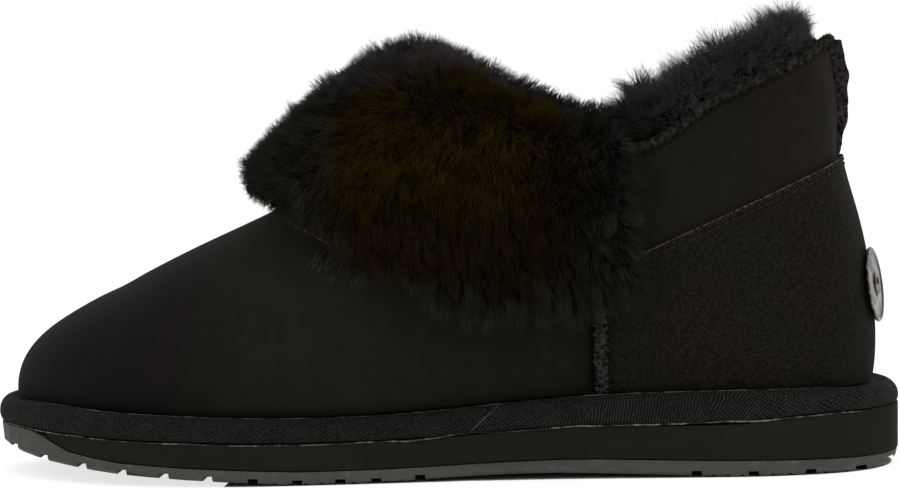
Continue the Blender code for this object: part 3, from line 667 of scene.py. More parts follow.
def scatter(piece, count, rng, wanted=None):
    """Random points over a piece, evenly by area, with normals. wanted keeps some of its faces."""
    mesh = piece.data
    mesh.calc_loop_triangles()
    corners = np.empty(len(mesh.loop_triangles) * 3, int)
    mesh.loop_triangles.foreach_get("vertices", corners)
    corners = corners.reshape(-1, 3)
    places = points_of(piece)
    facing = normals_of(piece)
    a, b, c = places[corners].transpose(1, 0, 2)
    areas = np.linalg.norm(np.cross(b - a, c - a), axis=1)
    if wanted:
        areas = areas * wanted((a + b + c) / 3, facing[corners].mean(axis=1))
    chosen = rng.choice(len(areas), count, p=areas / areas.sum())
    split = rng.random((count, 2))
    split = np.where(split.sum(axis=1)[:, None] > 1, 1 - split, split)
    weights = np.stack([1 - split.sum(axis=1), split[:, 0], split[:, 1]], axis=1)
    roots = (places[corners[chosen]] * weights[:, :, None]).sum(axis=1)
    normals = (facing[corners[chosen]] * weights[:, :, None]).sum(axis=1)
    return roots, unit(normals)


def unit(vectors):
    """Vectors brought to length one."""
    return vectors / np.maximum(np.linalg.norm(vectors, axis=1), 1e-9)[:, None]


def hairs(name, roots, along, lean, lengths, width, rng, crowd=30, gather=0.3, stray=0.35,
          curl=0.08, longer=1.5):
    """Tapered hairs in one mesh. Each starts along its own way, leans over, and joins a lock.

    lean and lengths are one for all or one for each. crowd is a lock's hairs, gather how far they
    draw together, stray how much each goes its own way, curl its bend, and longer how much longer
    the few stray ones are.
    """
    count = len(roots)
    seeds = rng.choice(count, max(int(count / crowd), 1), replace=False)
    tree = KDTree(len(seeds))
    for number, seed in enumerate(seeds):
        tree.insert(roots[seed], number)
    tree.balance()
    home = np.array([tree.find(root)[1] for root in roots])
    lock_lean = rng.normal(0.0, stray, (len(seeds), 3))[home]
    lock_length = rng.uniform(0.85, 1.1, len(seeds))[home]
    pull = (roots[seeds][home] - roots) * gather
    pull *= np.minimum(1.0, LOCK_PULL / np.maximum(np.linalg.norm(pull, axis=1), 1e-9))[:, None]
    lengths = lengths * lock_length * rng.uniform(0.7, 1.1, count)
    lengths = lengths * np.where(rng.random(count) < STRAY_SHARE, longer, 1.0)
    start = unit(along + rng.normal(0.0, stray * 0.6, (count, 3)))
    lean = lean + lock_lean + rng.normal(0.0, stray * 0.5, (count, 3))
    bend = unit(rng.normal(0.0, 1.0, (count, 3)))
    side = unit(np.cross(start, rng.normal(0.0, 1.0, (count, 3))))
    widths = width * rng.uniform(0.7, 1.3, count)
    rows = []
    for joint in (0.0, 0.5, 1.0):
        spine = roots + start * (lengths * joint)[:, None]
        spine = spine + lean * (lengths * joint * joint * 0.6)[:, None] + pull * joint ** 1.5
        spine = spine + bend * (lengths * curl * math.sin(joint * 5.0))[:, None]
        half = side * (widths * 0.5 * (1.0 - joint) ** 0.6)[:, None]
        rows += [spine] if joint == 1.0 else [spine - half, spine + half]
    # One hair is a quad and a triangle on five points, two at its root, two half way and its tip.
    points = len(rows)
    loops = np.array((0, 1, 3, 2, 2, 3, 4))
    firsts = np.array((0, 4))
    hair = np.arange(count)[:, None]
    mesh = bpy.data.meshes.new(name)
    mesh.vertices.add(count * points)
    mesh.vertices.foreach_set("co", np.stack(rows, axis=1).ravel())
    mesh.loops.add(count * len(loops))
    mesh.loops.foreach_set("vertex_index", (hair * points + loops).ravel())
    mesh.polygons.add(count * len(firsts))
    mesh.polygons.foreach_set("loop_start", (hair * len(loops) + firsts).ravel())
    mesh.update(calc_edges=True)
    mesh.shade_smooth()
    tones = rng.random(len(seeds))[home] * LOCK_TONE + rng.random(count) * (1 - LOCK_TONE)
    tips = (0.0, 0.0, 0.5, 0.5, 1.0)
    mesh.attributes.new("tone", "FLOAT", "POINT").data.foreach_set("value", np.repeat(tones, points))
    mesh.attributes.new("tip", "FLOAT", "POINT").data.foreach_set("value", np.tile(tips, count))
    return add_object(name, mesh)


footbed = take("insole", "footbed")
refine(footbed, 2)
smooth_shade(footbed, 180.0)
settle(footbed, wool_skin, "footbed", "insole")
rng = np.random.default_rng(11)
roots, normals = scatter(
    footbed, SOCK_HAIRS, rng, lambda at, facing: (facing[:, 2] > FACING_UP) & (at[:, 0] < SOCK_END))
nap = hairs("footbed_nap", roots, normals, (0.5, 0.0, -0.1), SOCK_HAIR, SOCK_HAIR_WIDE, rng)
settle(nap, wool, "footbed")

# ---------------------------------------------------------------------------------------------
# Upper: vamp and collar of one black suede, nap outwards, lasted over the foot and closed behind.
# It creases softly across the instep and behind the toes, and where it is drawn into the tape.
# Inside, its sheepskin is turned in, with short dense hair.
LINING_HAIR = 4.2 * MM
LINING_HAIR_WIDE = 0.55 * MM
LINING_HAIRS = 10000
LINING_FOOT = 0.032
LINING_END = 0.13
# The collar's edge swells up here, and the skin's two faces lie on either side of this axis.
WAVE_HIGH = 1.5 * MM
WAVE_AT, WAVE_REACH = 0.0185, 8.0 * MM
WAVE_FROM = (0.090, 0.102)
AXIS_HEEL, AXIS_TOE, AXIS_HEIGHT = 0.01, 0.19, 0.06
# Painted light: the suede is paler over the middle of the vamp, where the light falls. And where it is
# browner: heel and toe.
LIT_FROM, LIT_TO, LIT_UNDER = (0.085, 0.115), (0.180, 0.145), (0.080, 0.055)
TOE_END, HEEL_END = (0.165, 0.205), (0.025, -0.010)

suede, sockets, place = new_finish("black_suede", 0.95, 0.03, Sheen_Weight=0.02, Sheen_Roughness=0.5)
nap_far = fibre(place, 28.0, 4.0, 0.55)
nap_mid = fibre(place, 160.0, 4.0, 0.6)
nap_near = fibre(place, 2600.0, 2.0, 0.7)
brushed = nap_far * 0.5 + nap_mid * 0.5
along_foot = axis_of(place, 0)
toe_end = between(along_foot + nap_far * 0.03, *TOE_END)
heel_end = between(along_foot, *HEEL_END)
painted_light = between(along_foot, *LIT_FROM) * between(along_foot, *LIT_TO) * between(axis_of(place, 2), *LIT_UNDER)
dark = tint(toe_end, tint(heel_end, (19, 18, 15), (20, 18, 17)), (18, 16, 16))
light = tint(toe_end, tint(heel_end, (34, 33, 28), (35, 32, 29)), (29, 26, 26))
feed(sockets,
     Base_Color=tint(between(brushed, 0.25, 0.75) * 0.45 + nap_near * 0.55 + painted_light * 0.14 + heel_end * 0.06,
                     dark, light),
     Roughness=0.86 + nap_mid * 0.12,
     Normal=raised(nap_near + nap_mid * 1.5, 0.1 * MM))

# Creases of the suede: a line through some places, then how deep it is pressed and how far it
# reaches, in millimetres. A depth below nothing is a ridge.
CREASES = (
    (((0.148, 0.052, 0.052), (0.140, 0.060, 0.036), (0.137, 0.060, 0.027)), 0.9, 4.5),
    (((0.158, 0.045, 0.054), (0.152, 0.055, 0.040), (0.150, 0.060, 0.028)), -0.6, 4.0),
    (((0.112, 0.050, 0.046), (0.108, 0.055, 0.034), (0.104, 0.055, 0.027)), 0.7, 5.0),
    (((0.166, -0.045, 0.052), (0.158, -0.060, 0.036), (0.156, -0.060, 0.027)), 0.9, 4.5),
    (((0.126, -0.045, 0.050), (0.120, -0.055, 0.036), (0.117, -0.055, 0.028)), 0.8, 5.0),
    (((0.200, 0.000, 0.060), (0.196, 0.024, 0.052), (0.190, 0.040, 0.040)), 0.5, 6.0),
    (((0.198, -0.004, 0.060), (0.196, -0.030, 0.052), (0.190, -0.046, 0.040)), 0.5, 6.0),
    (((0.020, 0.034, 0.092), (0.034, 0.040, 0.084), (0.050, 0.040, 0.080)), 0.5, 5.0),
    (((0.0527, 0.045, 0.060), (0.0527, 0.048, 0.040), (0.0527, 0.048, 0.026)), 1.2, 1.1),
    (((0.0527, -0.045, 0.060), (0.0527, -0.048, 0.040), (0.0527, -0.048, 0.026)), 1.2, 1.1),
)


def press_creases(piece):
    """Presses the creases into a skin as soft troughs and ridges."""
    places = points_of(piece)
    facing = normals_of(piece)
    for line, deep, reach in CREASES:
        line = np.array(line)
        nearest = np.full(len(places), 1.0)
        for first, last in zip(line, line[1:]):
            span = last - first
            share = np.clip((places - first) @ span / (span @ span), 0, 1)
            nearest = np.minimum(nearest, np.linalg.norm(places - first - share[:, None] * span, axis=1))
        places = places - facing * (deep * MM * np.exp(-(nearest / (reach * MM)) ** 2))[:, None]
    place_points(piece, places)


def surface_of(piece):
    """A piece's surface, for laying other pieces on it."""
    made = bmesh.new()
    made.from_mesh(piece.data)
    tree = BVHTree.FromBMesh(made)
    made.free()
    return tree


upper = take("upper", "suede_upper")
refine(upper, 2)
press_creases(upper)
places = points_of(upper)
swell = np.exp(-((places[:, 0] - WAVE_AT) / WAVE_REACH) ** 2) * ramp(places[:, 2], *WAVE_FROM)
places[:, 2] += swell * WAVE_HIGH
place_points(upper, places)
smooth_shade(upper, 180.0)
settle(upper, suede, "suede", "upper")
upper_surface = surface_of(upper)


def faces_out(places, facing):
    """Which places of the upper face away from the foot."""
    axis = np.zeros((len(places), 3))
    axis[:, 0] = np.clip(places[:, 0], AXIS_HEEL, AXIS_TOE)
    axis[:, 2] = AXIS_HEIGHT
    return ((places - axis) * facing).sum(axis=1) > 0


def lining_share(at, facing):
    """Which faces are the upper's inner side where the lining can be seen down the collar."""
    return ~faces_out(at, facing) & (at[:, 2] > LINING_FOOT) & (at[:, 0] < LINING_END)


rng = np.random.default_rng(12)
roots, normals = scatter(upper, LINING_HAIRS, rng, lining_share)
lining = hairs("lining_nap", roots, normals, (0.1, 0.0, -0.4), LINING_HAIR, LINING_HAIR_WIDE, rng)
settle(lining, wool, "fleece")

# A painted highlight along the tape's upper edge: a fine pale cord all round, on the tape's crest beside the
# suede, and close against the suede at the heel and toe.
TAPE_GLINT_STEPS = 500
TAPE_GLINT_THICK = 0.16 * MM
TAPE_GLINT_NEAR = 0.35 * MM
CREST_LEAN = 0.08
CREST_FROM, CREST_TO = -0.020, 0.205

platform_surface = surface_of(platform)
glint_line = []
inwards = inwards_of(np.roll(ring, -1, axis=0) - ring)
for number in np.linspace(0, OUTLINE_STEPS, TAPE_GLINT_STEPS, endpoint=False).astype(int):
    crest = None
    for inset in np.arange(1.0, 12.0, 0.25) * MM:
        x, y = ring[number, :2] + inwards[number] * inset
        spot = platform_surface.ray_cast(Vector((x, y, 0.1)), Vector((0.0, 0.0, -1.0)))[0]
        if spot is None:
            continue
        at_end = not CREST_FROM < spot.x < CREST_TO
        if crest is None or at_end or spot.z - inset * CREST_LEAN > crest[1]:
            crest = (spot, spot.z - inset * CREST_LEAN)
        near, facing = upper_surface.find_nearest(spot)[:2]
        if (spot - near).dot(facing) < TAPE_GLINT_NEAR:
            break
    glint_line.append(tuple(crest[0]))
glint_line = relaxed(np.array(glint_line), 3)
rng = np.random.default_rng(19)
swell = rng.uniform(0.3, 1.1, len(glint_line))
highlight_cord = cord_along("tape_edge_highlight", glint_line, TAPE_GLINT_THICK, swell, closed=True)
settle(highlight_cord, thread_and_highlight_finish, "tape")

# ---------------------------------------------------------------------------------------------
# Collar edge: the raw top edge of the suede, cut by hand so that it waves, with its pale skin
# side and some lining hair showing. One row of black stitches runs just under it.

# The collar's edge on the outer side, from the back seam to where the cuff begins.
COLLAR_EDGE = (
    (-0.0172, 0.0, 0.1256), (-0.0152, 0.0125, 0.1242), (-0.0085, 0.0210, 0.1206), (0.0062, 0.0285, 0.1141),
    (0.0185, 0.0318, 0.1079), (0.0330, 0.0335, 0.0980), (0.0470, 0.0335, 0.0948),
)
# Each side's name and its sign across the foot.
SIDES = (("outer", 1.0), ("inner", -1.0))
EDGE_THICK = 1.35 * MM
EDGE_NUB = 2.2 * MM
EDGE_SWAY = 0.22 * MM
EDGE_PROUD, EDGE_PROUD_FROM = 0.6 * MM, 12 * MM
EDGE_DROP = 0.3 * MM
EDGE_FUZZ = 5000
EDGE_FUZZ_LONG = 0.9 * MM
EDGE_FUZZ_WIDE = 0.16 * MM
EDGE_STEPS = 220
EDGE_KNOT = 3
SEAM_DROP = 3.9 * MM
STITCH_LONG = 2.0 * MM
STITCH_GAP = 0.8 * MM
STITCH_THICK = 0.18 * MM
STITCH_PROUD = 0.15 * MM

raw_edge = mottled(
    "raw_suede_edge", 0.95, 0.05, (700.0, 4.0, 0.7), (0.35, 0.7), (24, 23, 21), (54, 52, 48), 0.6 * MM)
stitching = mottled(
    "black_stitching", 0.6, 0.08, (1500.0, 2.0), None, (20, 18, 16), (50, 45, 39), 0.1 * MM)


def curve_through(points, steps):
    """A smooth line through some places, with even steps."""
    points = np.array(points, float)
    ends = np.vstack([2 * points[0] - points[1], points, 2 * points[-1] - points[-2]])
    fine = []
    for k in range(len(points) - 1):
        a, b, c, d = ends[k:k + 4]
        for t in np.arange(16) / 16:
            fine.append(0.5 * (2 * b + (c - a) * t + (2 * a - 5 * b + 4 * c - d) * t * t
                               + (3 * b - a - 3 * c + d) * t ** 3))
    fine.append(points[-1])
    return evenly(np.array(fine), steps)


def lay(line, surface, proud):
    """A line brought to a height over a surface, and the surface's normals under it."""
    found = [surface.find_nearest(Vector(spot)) for spot in line]
    normals = np.array([tuple(hit[1]) for hit in found])
    return np.array([tuple(hit[0]) for hit in found]) + normals * proud, normals


def sew(name, line, normals, thick, slant=0.0):
    """A row of stitches: one modelled stitch, copied along a line that lies on the skin."""
    bpy.ops.mesh.primitive_uv_sphere_add(segments=6, ring_count=5, radius=1.0)
    stitch = bpy.context.object
    shape = points_of(stitch) * (1.0, thick, thick * 0.8)
    shape[:, 0] = np.sign(shape[:, 0]) * np.abs(shape[:, 0]) ** 0.6 * STITCH_LONG / 2
    polygons = [tuple(face.vertices) for face in stitch.data.polygons]
    bpy.data.objects.remove(stitch)
    lengths = lengths_of(line)
    verts = []
    faces = []
    for start in np.arange(STITCH_LONG / 2, lengths[-1] - STITCH_LONG / 2, STITCH_LONG + STITCH_GAP):
        middle = at_length(lengths, line, start)
        ahead = at_length(lengths, line, start + STITCH_GAP) - middle
        up = at_length(lengths, normals, start)
        up /= np.linalg.norm(up)
        ahead -= up * (ahead @ up)
        ahead /= np.linalg.norm(ahead)
        across = np.cross(up, ahead)
        ahead, across = (ahead * math.cos(slant) + across * math.sin(slant),
                         across * math.cos(slant) - ahead * math.sin(slant))
        faces += [tuple(corner + len(verts) for corner in face) for face in polygons]
        verts += list(middle + shape @ np.stack([ahead, across, up]))
    mesh = bpy.data.meshes.new(name)
    mesh.from_pydata([tuple(vert) for vert in verts], [], faces)
    mesh.shade_smooth()
    return add_object(name, mesh)


for side, across in SIDES:
    rng = np.random.default_rng(5)
    line = curve_through(np.array(COLLAR_EDGE) * (1.0, across, 1.0), EDGE_STEPS)
    knots = math.ceil(EDGE_STEPS / EDGE_KNOT)
    sway = [spread(rng.normal(0, EDGE_SWAY, knots), EDGE_STEPS, EDGE_KNOT) for _ in range(3)]
    swell = spread(rng.uniform(0.8, 1.2, knots), EDGE_STEPS, EDGE_KNOT)
    along = np.arange(EDGE_STEPS) * np.linalg.norm(line[1] - line[0])
    swell = swell + 0.2 * np.sin(along / EDGE_NUB * 2 * math.pi + swell * 3)
    outwards = np.clip(line[:, 1:2] / EDGE_PROUD_FROM, -1, 1) * (0.0, 1.0, 0.0) * EDGE_PROUD
    path = line + np.stack(sway, axis=1) + outwards - (0.0, 0.0, EDGE_DROP)
    cord = cord_along("collar_edge_" + side, path, EDGE_THICK, swell, sides=8)
    settle(cord, raw_edge, "suede")
    roots, normals = scatter(cord, EDGE_FUZZ, rng)
    fuzz = hairs("edge_fuzz_" + side, roots, normals, (0.0, 0.0, 0.0), EDGE_FUZZ_LONG, EDGE_FUZZ_WIDE, rng,
                 crowd=12, gather=0.5, stray=0.5, curl=0.2)
    settle(fuzz, raw_edge, "suede")
    path, normals = lay(line - (0.0, 0.0, SEAM_DROP), upper_surface, STITCH_PROUD)
    row = sew("collar_stitches_" + side, path, normals, STITCH_THICK)
    settle(row, stitching, "suede")

# ---------------------------------------------------------------------------------------------
# Heel quarter: a second layer of coarser, speckled suede over the heel and sides. Its top edge
# is cut raw and held by two rows of stitches; its foot is drawn under the tape.
QUARTER_LIFT = 0.3 * MM
QUARTER_THICK = 1.1 * MM
QUARTER_ROUND = 0.3 * MM
QUARTER_FRONT = 0.0483
QUARTER_FOOT = 0.0246
QUARTER_TOP = (Vector((0.0326, 0.0, 0.068)), Vector((-0.0220, 0.0, 0.0917)))
QUARTER_ROWS = (1.2 * MM, 2.6 * MM)
QUARTER_EDGE_THICK = 0.24 * MM
QUARTER_EDGE_DROP, QUARTER_EDGE_PROUD = 0.45 * MM, 0.05 * MM
ROW_STEPS = 260
ROW_THICK = 0.24 * MM
ROW_PROUD = 0.1 * MM
ROW_SLANT = math.radians(12)
ROW_TURN = math.radians(126)

coarse, sockets, place = new_finish("coarse_suede", 0.97, 0.03, Sheen_Weight=0.02, Sheen_Roughness=0.5)
patches = fibre(place, 55.0, 4.0, 0.6)
nubs = fibre(place, 1100.0, 3.0, 0.7)
fleck = place.node("ShaderNodeTexVoronoi", None, {"Vector": place, "Scale": 900.0})
flecks = between(fleck, 0.22, 0.1) * between(fibre(place, 420.0, 2.0), 0.42, 0.6)
warm = between(fibre(place, 38.0, 3.0, 0.6), 0.4, 0.6)
ground = tint(between(nubs, 0.34, 0.66) * 0.7 + patches * 0.3, (17, 16, 13),
              tint(warm, (32, 31, 26), (35, 31, 26)))
feed(sockets,
     Base_Color=tint(flecks * 0.4, ground, (72, 66, 58)),
     Normal=raised(nubs * 1.4 + patches, 0.3 * MM))


def keep_side(piece, at, facing):
    """Cuts a closed piece by a plane, keeps what lies behind it and closes the cut."""
    pick(piece)
    bpy.ops.object.mode_set(mode="EDIT")
    bpy.ops.mesh.select_all(action="SELECT")
    bpy.ops.mesh.bisect(plane_co=at, plane_no=facing, clear_outer=True, use_fill=True)
    bpy.ops.object.mode_set(mode="OBJECT")


def outer_skin(name):
    """The outer face of the upper as an open skin."""
    skin = add_object(name, upper.data.copy())
    skin.data.materials.clear()
    outward = faces_out(points_of(skin), normals_of(skin))
    edit = bmesh.new()
    edit.from_mesh(skin.data)
    edit.verts.ensure_lookup_table()
    gone = [vert for vert in edit.verts if not outward[vert.index]]
    bmesh.ops.delete(edit, geom=gone, context="VERTS")
    edit.to_mesh(skin.data)
    edit.free()
    return skin


quarter = outer_skin("heel_quarter_suede")
places = points_of(quarter) + normals_of(quarter) * QUARTER_LIFT
place_points(quarter, places)
work(quarter, "SOLIDIFY", thickness=QUARTER_THICK, offset=1.0)
top_run = (QUARTER_TOP[1] - QUARTER_TOP[0]).normalized()
top_up = Vector((0.0, 1.0, 0.0)).cross(top_run)
keep_side(quarter, QUARTER_TOP[0], top_up)
keep_side(quarter, (QUARTER_FRONT, 0.0, 0.0), (1.0, 0.0, 0.0))
keep_side(quarter, (0.0, 0.0, QUARTER_FOOT), (0.0, 0.0, -1.0))
soften(quarter, QUARTER_ROUND, 50)
smooth_shade(quarter, 60.0)
settle(quarter, coarse, "rough_suede", "heel_quarter")
quarter_surface = surface_of(quarter)


def round_heel(drop, proud):
    """A line round the quarter so far below its top edge, and the surface's normals under it."""
    middle = QUARTER_TOP[0].lerp(QUARTER_TOP[1], 0.25) - top_up * drop
    path = []
    normals = []
    for turned in np.linspace(-ROW_TURN, ROW_TURN, ROW_STEPS):
        outward = top_run * math.cos(turned) + Vector((0.0, 1.0, 0.0)) * math.sin(turned)
        spot, facing = quarter_surface.ray_cast(middle + outward * 0.2, -outward)[:2]
        if spot and spot.x < QUARTER_FRONT - 1 * MM:
            path.append(spot + facing * proud)
            normals.append(facing)
    return np.array(path), np.array(normals)


for number, drop in enumerate(QUARTER_ROWS):
    path, normals = round_heel(drop, ROW_PROUD)
    row = sew(f"quarter_stitches_{number}", path, normals, ROW_THICK, ROW_SLANT)
    settle(row, stitching, "rough_suede")

# Cut suede edges are paler than the nap. The pale cord along the quarter's top is that raw edge and also a
# painted highlight where the edge catches the light.
cut_edge_and_highlight = mottled(
    "cut_suede_edge_and_highlight", 0.95, 0.05, (900.0, 3.0, 0.7), (0.35, 0.65), (24, 21, 18), (84, 76, 66), 0.3 * MM)
path = round_heel(QUARTER_EDGE_DROP, QUARTER_EDGE_PROUD)[0]
rng = np.random.default_rng(17)
cord = cord_along("quarter_edge_highlight", path, QUARTER_EDGE_THICK, rng.uniform(0.6, 1.2, len(path)))
settle(cord, cut_edge_and_highlight, "rough_suede")

# ---------------------------------------------------------------------------------------------
# Side seams: vamp and quarter butt together on each side. A raised overlock of thick black thread,
# laid in loose curls, covers the joint from the tape up to under the cuff.
SEAM_X = 0.0496
SEAM_LOW, SEAM_HIGH = 0.0252, 0.0590
SEAM_STEP = 0.06
SEAM_KNOT = 8
SEAM_ASIDE = 0.06
STRIP_EDGE = 0.5 * MM
# Each thread of the overlock: half its swing and its pitch in millimetres, its start in cycles and
# its thickness in millimetres.
SEAM_THREADS = (
    (2.0, 4.3, 0.0, 0.46), (1.8, 4.3, 0.33, 0.44), (1.7, 4.2, 0.66, 0.44), (1.1, 3.4, 0.3, 0.38),
    (2.2, 2.15, 0.1, 0.24),
)

overlock_thread = mottled(
    "overlock_thread", 0.7, 0.1, (700.0, 2.0, 0.6), (0.3, 0.7), (13, 12, 10), (50, 48, 44), 0.25 * MM)

for side, across in SIDES:
    strip = take("side_seam_" + side, "seam_strip_" + side)
    soften(strip, STRIP_EDGE, 40)
    smooth_shade(strip)
    settle(strip, wool_skin, "suede", "side_seam_" + side)
    strip_surface = surface_of(strip)
    for number, (swing, pitch, start, thick) in enumerate(SEAM_THREADS):
        rng = np.random.default_rng(40 + number)
        pitch *= MM
        turns = np.arange(0, (SEAM_HIGH - SEAM_LOW) / pitch, SEAM_STEP)
        steps, knots = len(turns), math.ceil(len(turns) / SEAM_KNOT) + 1
        drift = spread(rng.uniform(-0.12, 0.12, knots), steps, SEAM_KNOT)
        reach = spread(rng.uniform(0.6, 1.1, knots), steps, SEAM_KNOT)
        angle = (turns + start + drift) * 2 * math.pi
        xs = SEAM_X + swing * MM * reach * np.sin(angle)
        zs = SEAM_LOW + turns * pitch + 0.22 * pitch * np.sin(angle * 2)
        line = np.stack([xs, np.full(steps, SEAM_ASIDE * across), zs], axis=1)
        path = lay(line, strip_surface, 0.0)[0]
        lift = (0.45 + 0.35 * np.cos(angle + number)) * MM
        path = np.stack([xs, path[:, 1] + lift * across, zs], axis=1)
        swell = spread(rng.uniform(0.75, 1.15, knots), steps, SEAM_KNOT)
        cord = cord_along(f"seam_thread_{side}_{number}", path, thick * MM, swell)
        settle(cord, overlock_thread, "suede")

# ---------------------------------------------------------------------------------------------
# Back seam: the collar's two ends are sewn together face to face, and their raw edges stand
# out behind as a double fin that waves a little and bites into the suede at its root.
FIN_WAVE = 0.4 * MM
FIN_BITE = 0.35 * MM
FIN_STEP = 1.2 * MM
FIN_ROUND = 0.5 * MM
FIN_GRAIN = 0.4 * MM
# The fin's outer edge as height and place along the foot, and where its foot is drawn out.
FIN_EDGE = ((0.0905, -0.0198), (0.0955, -0.0211), (0.1043, -0.0228), (0.1147, -0.0229), (0.1252, -0.0213))
FIN_DRAWN = 0.104
FIN_DRAW = 1.7

fin_suede = mottled(
    "fin_suede", 0.95, 0.04, (800.0, 4.0, 0.7), (0.35, 0.68), (18, 16, 16), (58, 54, 53), 0.5 * MM)

fin = take("back_seam", "back_fin")
soften(fin, FIN_ROUND, 50)
work(fin, "REMESH", mode="VOXEL", voxel_size=FIN_GRAIN)
places = points_of(fin)
places[:, 2] -= np.maximum(FIN_DRAWN - places[:, 2], 0.0) * (FIN_DRAW - 1)
rows = np.round(places[:, 2] / FIN_STEP).astype(int)
root = places[rows == rows.min(), 0].max()
for number in np.unique(rows):
    there = rows == number
    inner_edge, outer_edge = places[there, 0].max(), places[there, 0].min()
    spot = upper_surface.ray_cast(Vector((-0.1, 0.0, number * FIN_STEP)), Vector((1.0, 0.0, 0.0)))[0]
    root = spot.x if spot else root
    share = np.clip((places[there, 0] - outer_edge) / max(inner_edge - outer_edge, MM), 0, 1)
    heights = places[there, 2]
    sway = np.sin(heights / (2.1 * MM)) + 0.7 * np.sin(heights / (1.1 * MM) + 1.0)
    outer = look_up(FIN_EDGE, heights) + sway * FIN_WAVE * 0.6
    places[there, 0] = (root + FIN_BITE) * share + outer * (1 - share)
    places[there, 1] += np.sin(heights / (3.4 * MM)) * (1 - share) * FIN_WAVE
place_points(fin, places)
work(fin, "SMOOTH", factor=0.5, iterations=3)
smooth_shade(fin, 180.0)
settle(fin, fin_suede, "suede", "back_seam")

# ---------------------------------------------------------------------------------------------
# Cuff: the collar's sheepskin folded out and down over the instep, hair outwards. The hair stands
# up along the fold, lies downwards over the middle and the hem, and is swept back at its rear edge.
CUFF_SINK = 2.6 * MM
SINK_FROM, SINK_FULL = 3.5 * MM, 6.5 * MM
CUFF_HAIRS = 180000
CUFF_PARTS = 4
CUFF_LOCK = 80
# A hair's root is at least this far off the suede, and faces it only where it is well clear of it.
ROOT_OFF, ROOT_CLEAR, ROOT_FACING = 0.9 * MM, 6 * MM, -0.35
# The front tip stands off the instep: its underside, and how that falls away behind the tip.
TIP_LOW, TIP_FALL, TIP_FROM, TIP_FADE = 0.0812, 0.022, 0.147, 0.013
TIP_STRETCH = (0.149, 0.157)
TIP_LONGER = 1.6 * MM
# How the fold's top rises or sinks along the foot, and how low the pelt's hem comes.
CUFF_RISE = (
    (0.040, 0.0), (0.050, 2.0), (0.056, 0.6), (0.068, 1.4), (0.078, 0.2), (0.085, 0.0), (0.092, 0.5),
    (0.0985, 1.3), (0.105, -0.2), (0.112, -1.5), (0.118, -2.6), (0.126, -2.9), (0.133, -1.6), (0.144, -1.6),
    (0.150, -1.0),
)
CUFF_HEM = (
    (0.036, 59.0), (0.045, 53.5), (0.052, 51.5), (0.080, 51.0), (0.089, 52.5), (0.094, 54.0), (0.0995, 57.0),
    (0.106, 61.5), (0.113, 65.0), (0.119, 68.0), (0.126, 72.5), (0.133, 76.0), (0.140, 78.5), (0.146, 80.0),
    (0.152, 82.0),
)
RISE_FROM = (0.088, 0.102)
HEM_FROM = 0.092
HEM_SLICE = 2 * MM
# Below this height the pelt keeps its distance to the suede, moved by no more than so much a time.
SPREAD_UNDER, SPREAD_MOST = 0.085, 3 * MM
CUFF_HAIR_LONG = 5.4 * MM
HAIR_WIDE = 0.19 * MM
# Where the hair goes its own ways: at the hem, fold, rear edge, front tip and toe side, and where
# it is combed down. Each runs from where it begins to where it is full.
LOW_HAIR, HIGH_HAIR = (0.085, 0.055), (0.108, 0.124)
REAR_HAIR, FRONT_HAIR, TOE_HAIR = (0.062, 0.040), (0.137, 0.147), (0.098, 0.118)
COMBED = ((2, 0.058, 0.070), (2, 0.126, 0.098), (0, 0.060, 0.075), (0, 0.140, 0.125))
HEM_THICKET = (0.075, 0.055)


def pelt(node, name, sink):
    """A solid's fleece without its pointed locks, rounded and sunk to where the hair grows."""
    piece = take(node, name)
    edit = bmesh.new()
    edit.from_mesh(piece.data)
    tips = [vert for vert in edit.verts
            if len(vert.link_faces) == 4 and all(len(face.verts) == 3 for face in vert.link_faces)]
    bmesh.ops.dissolve_verts(edit, verts=tips)
    edit.to_mesh(piece.data)
    edit.free()
    refine(piece, 1)
    places = points_of(piece)
    deep = ramp(height_over_upper(places), SINK_FROM, SINK_FULL) * sink
    place_points(piece, places - normals_of(piece) * deep[:, None])
    smooth_shade(piece, 180.0)
    return piece


def height_over_upper(places):
    """How far each place is from the suede."""
    return np.array([upper_surface.find_nearest(Vector(spot))[3] for spot in places])


def turned_away(places, facing):
    """Which places are far enough off the suede for a hair's root and do not face it closely."""
    found = [upper_surface.find_nearest(Vector(spot)) for spot in places]
    nearest = np.array([tuple(hit[0]) for hit in found])
    off = np.array([hit[3] for hit in found])
    away = ((places - nearest) * facing).sum(axis=1) / np.maximum(off, 1e-6)
    return ((off > ROOT_OFF) & ((away > ROOT_FACING) | (off > ROOT_CLEAR))).astype(float)


cuff = pelt("cuff", "cuff_pelt", CUFF_SINK)
places = points_of(cuff)
stood = height_over_upper(places)
slices = np.round(places[:, 0] / HEM_SLICE).astype(int)
for number in np.unique(slices):
    there = slices == number
    lowest = min(places[there, 2].min(), HEM_FROM - 1 * MM)
    wanted = look_up(CUFF_HEM, number * HEM_SLICE) * MM
    places[there, 2] += ramp(places[there, 2], HEM_FROM, lowest) * (wanted - lowest)
places[:, 2] += look_up(CUFF_RISE, places[:, 0]) * MM * ramp(places[:, 2], *RISE_FROM)
for _ in range(3):
    off = (stood - height_over_upper(places)) * (places[:, 2] < SPREAD_UNDER)
    places[:, 1] += np.sign(places[:, 1]) * np.clip(off, -SPREAD_MOST, SPREAD_MOST)
underside = TIP_LOW - TIP_FALL * np.clip((TIP_FROM - places[:, 0]) / TIP_FADE, 0, 3)
places[:, 2] = np.maximum(places[:, 2], underside)
places[:, 0] += ramp(places[:, 0], *TIP_STRETCH) * TIP_LONGER
place_points(cuff, places)
work(cuff, "SMOOTH", factor=0.5, iterations=4)
settle(cuff, wool_skin, "fleece", "cuff")
rng = np.random.default_rng(21)
roots, normals = scatter(
    cuff, CUFF_HAIRS, rng,
    lambda at, facing: turned_away(at, facing) * (1 + 0.6 * ramp(at[:, 2], *HEM_THICKET)))
order = np.argsort(roots[:, 0])
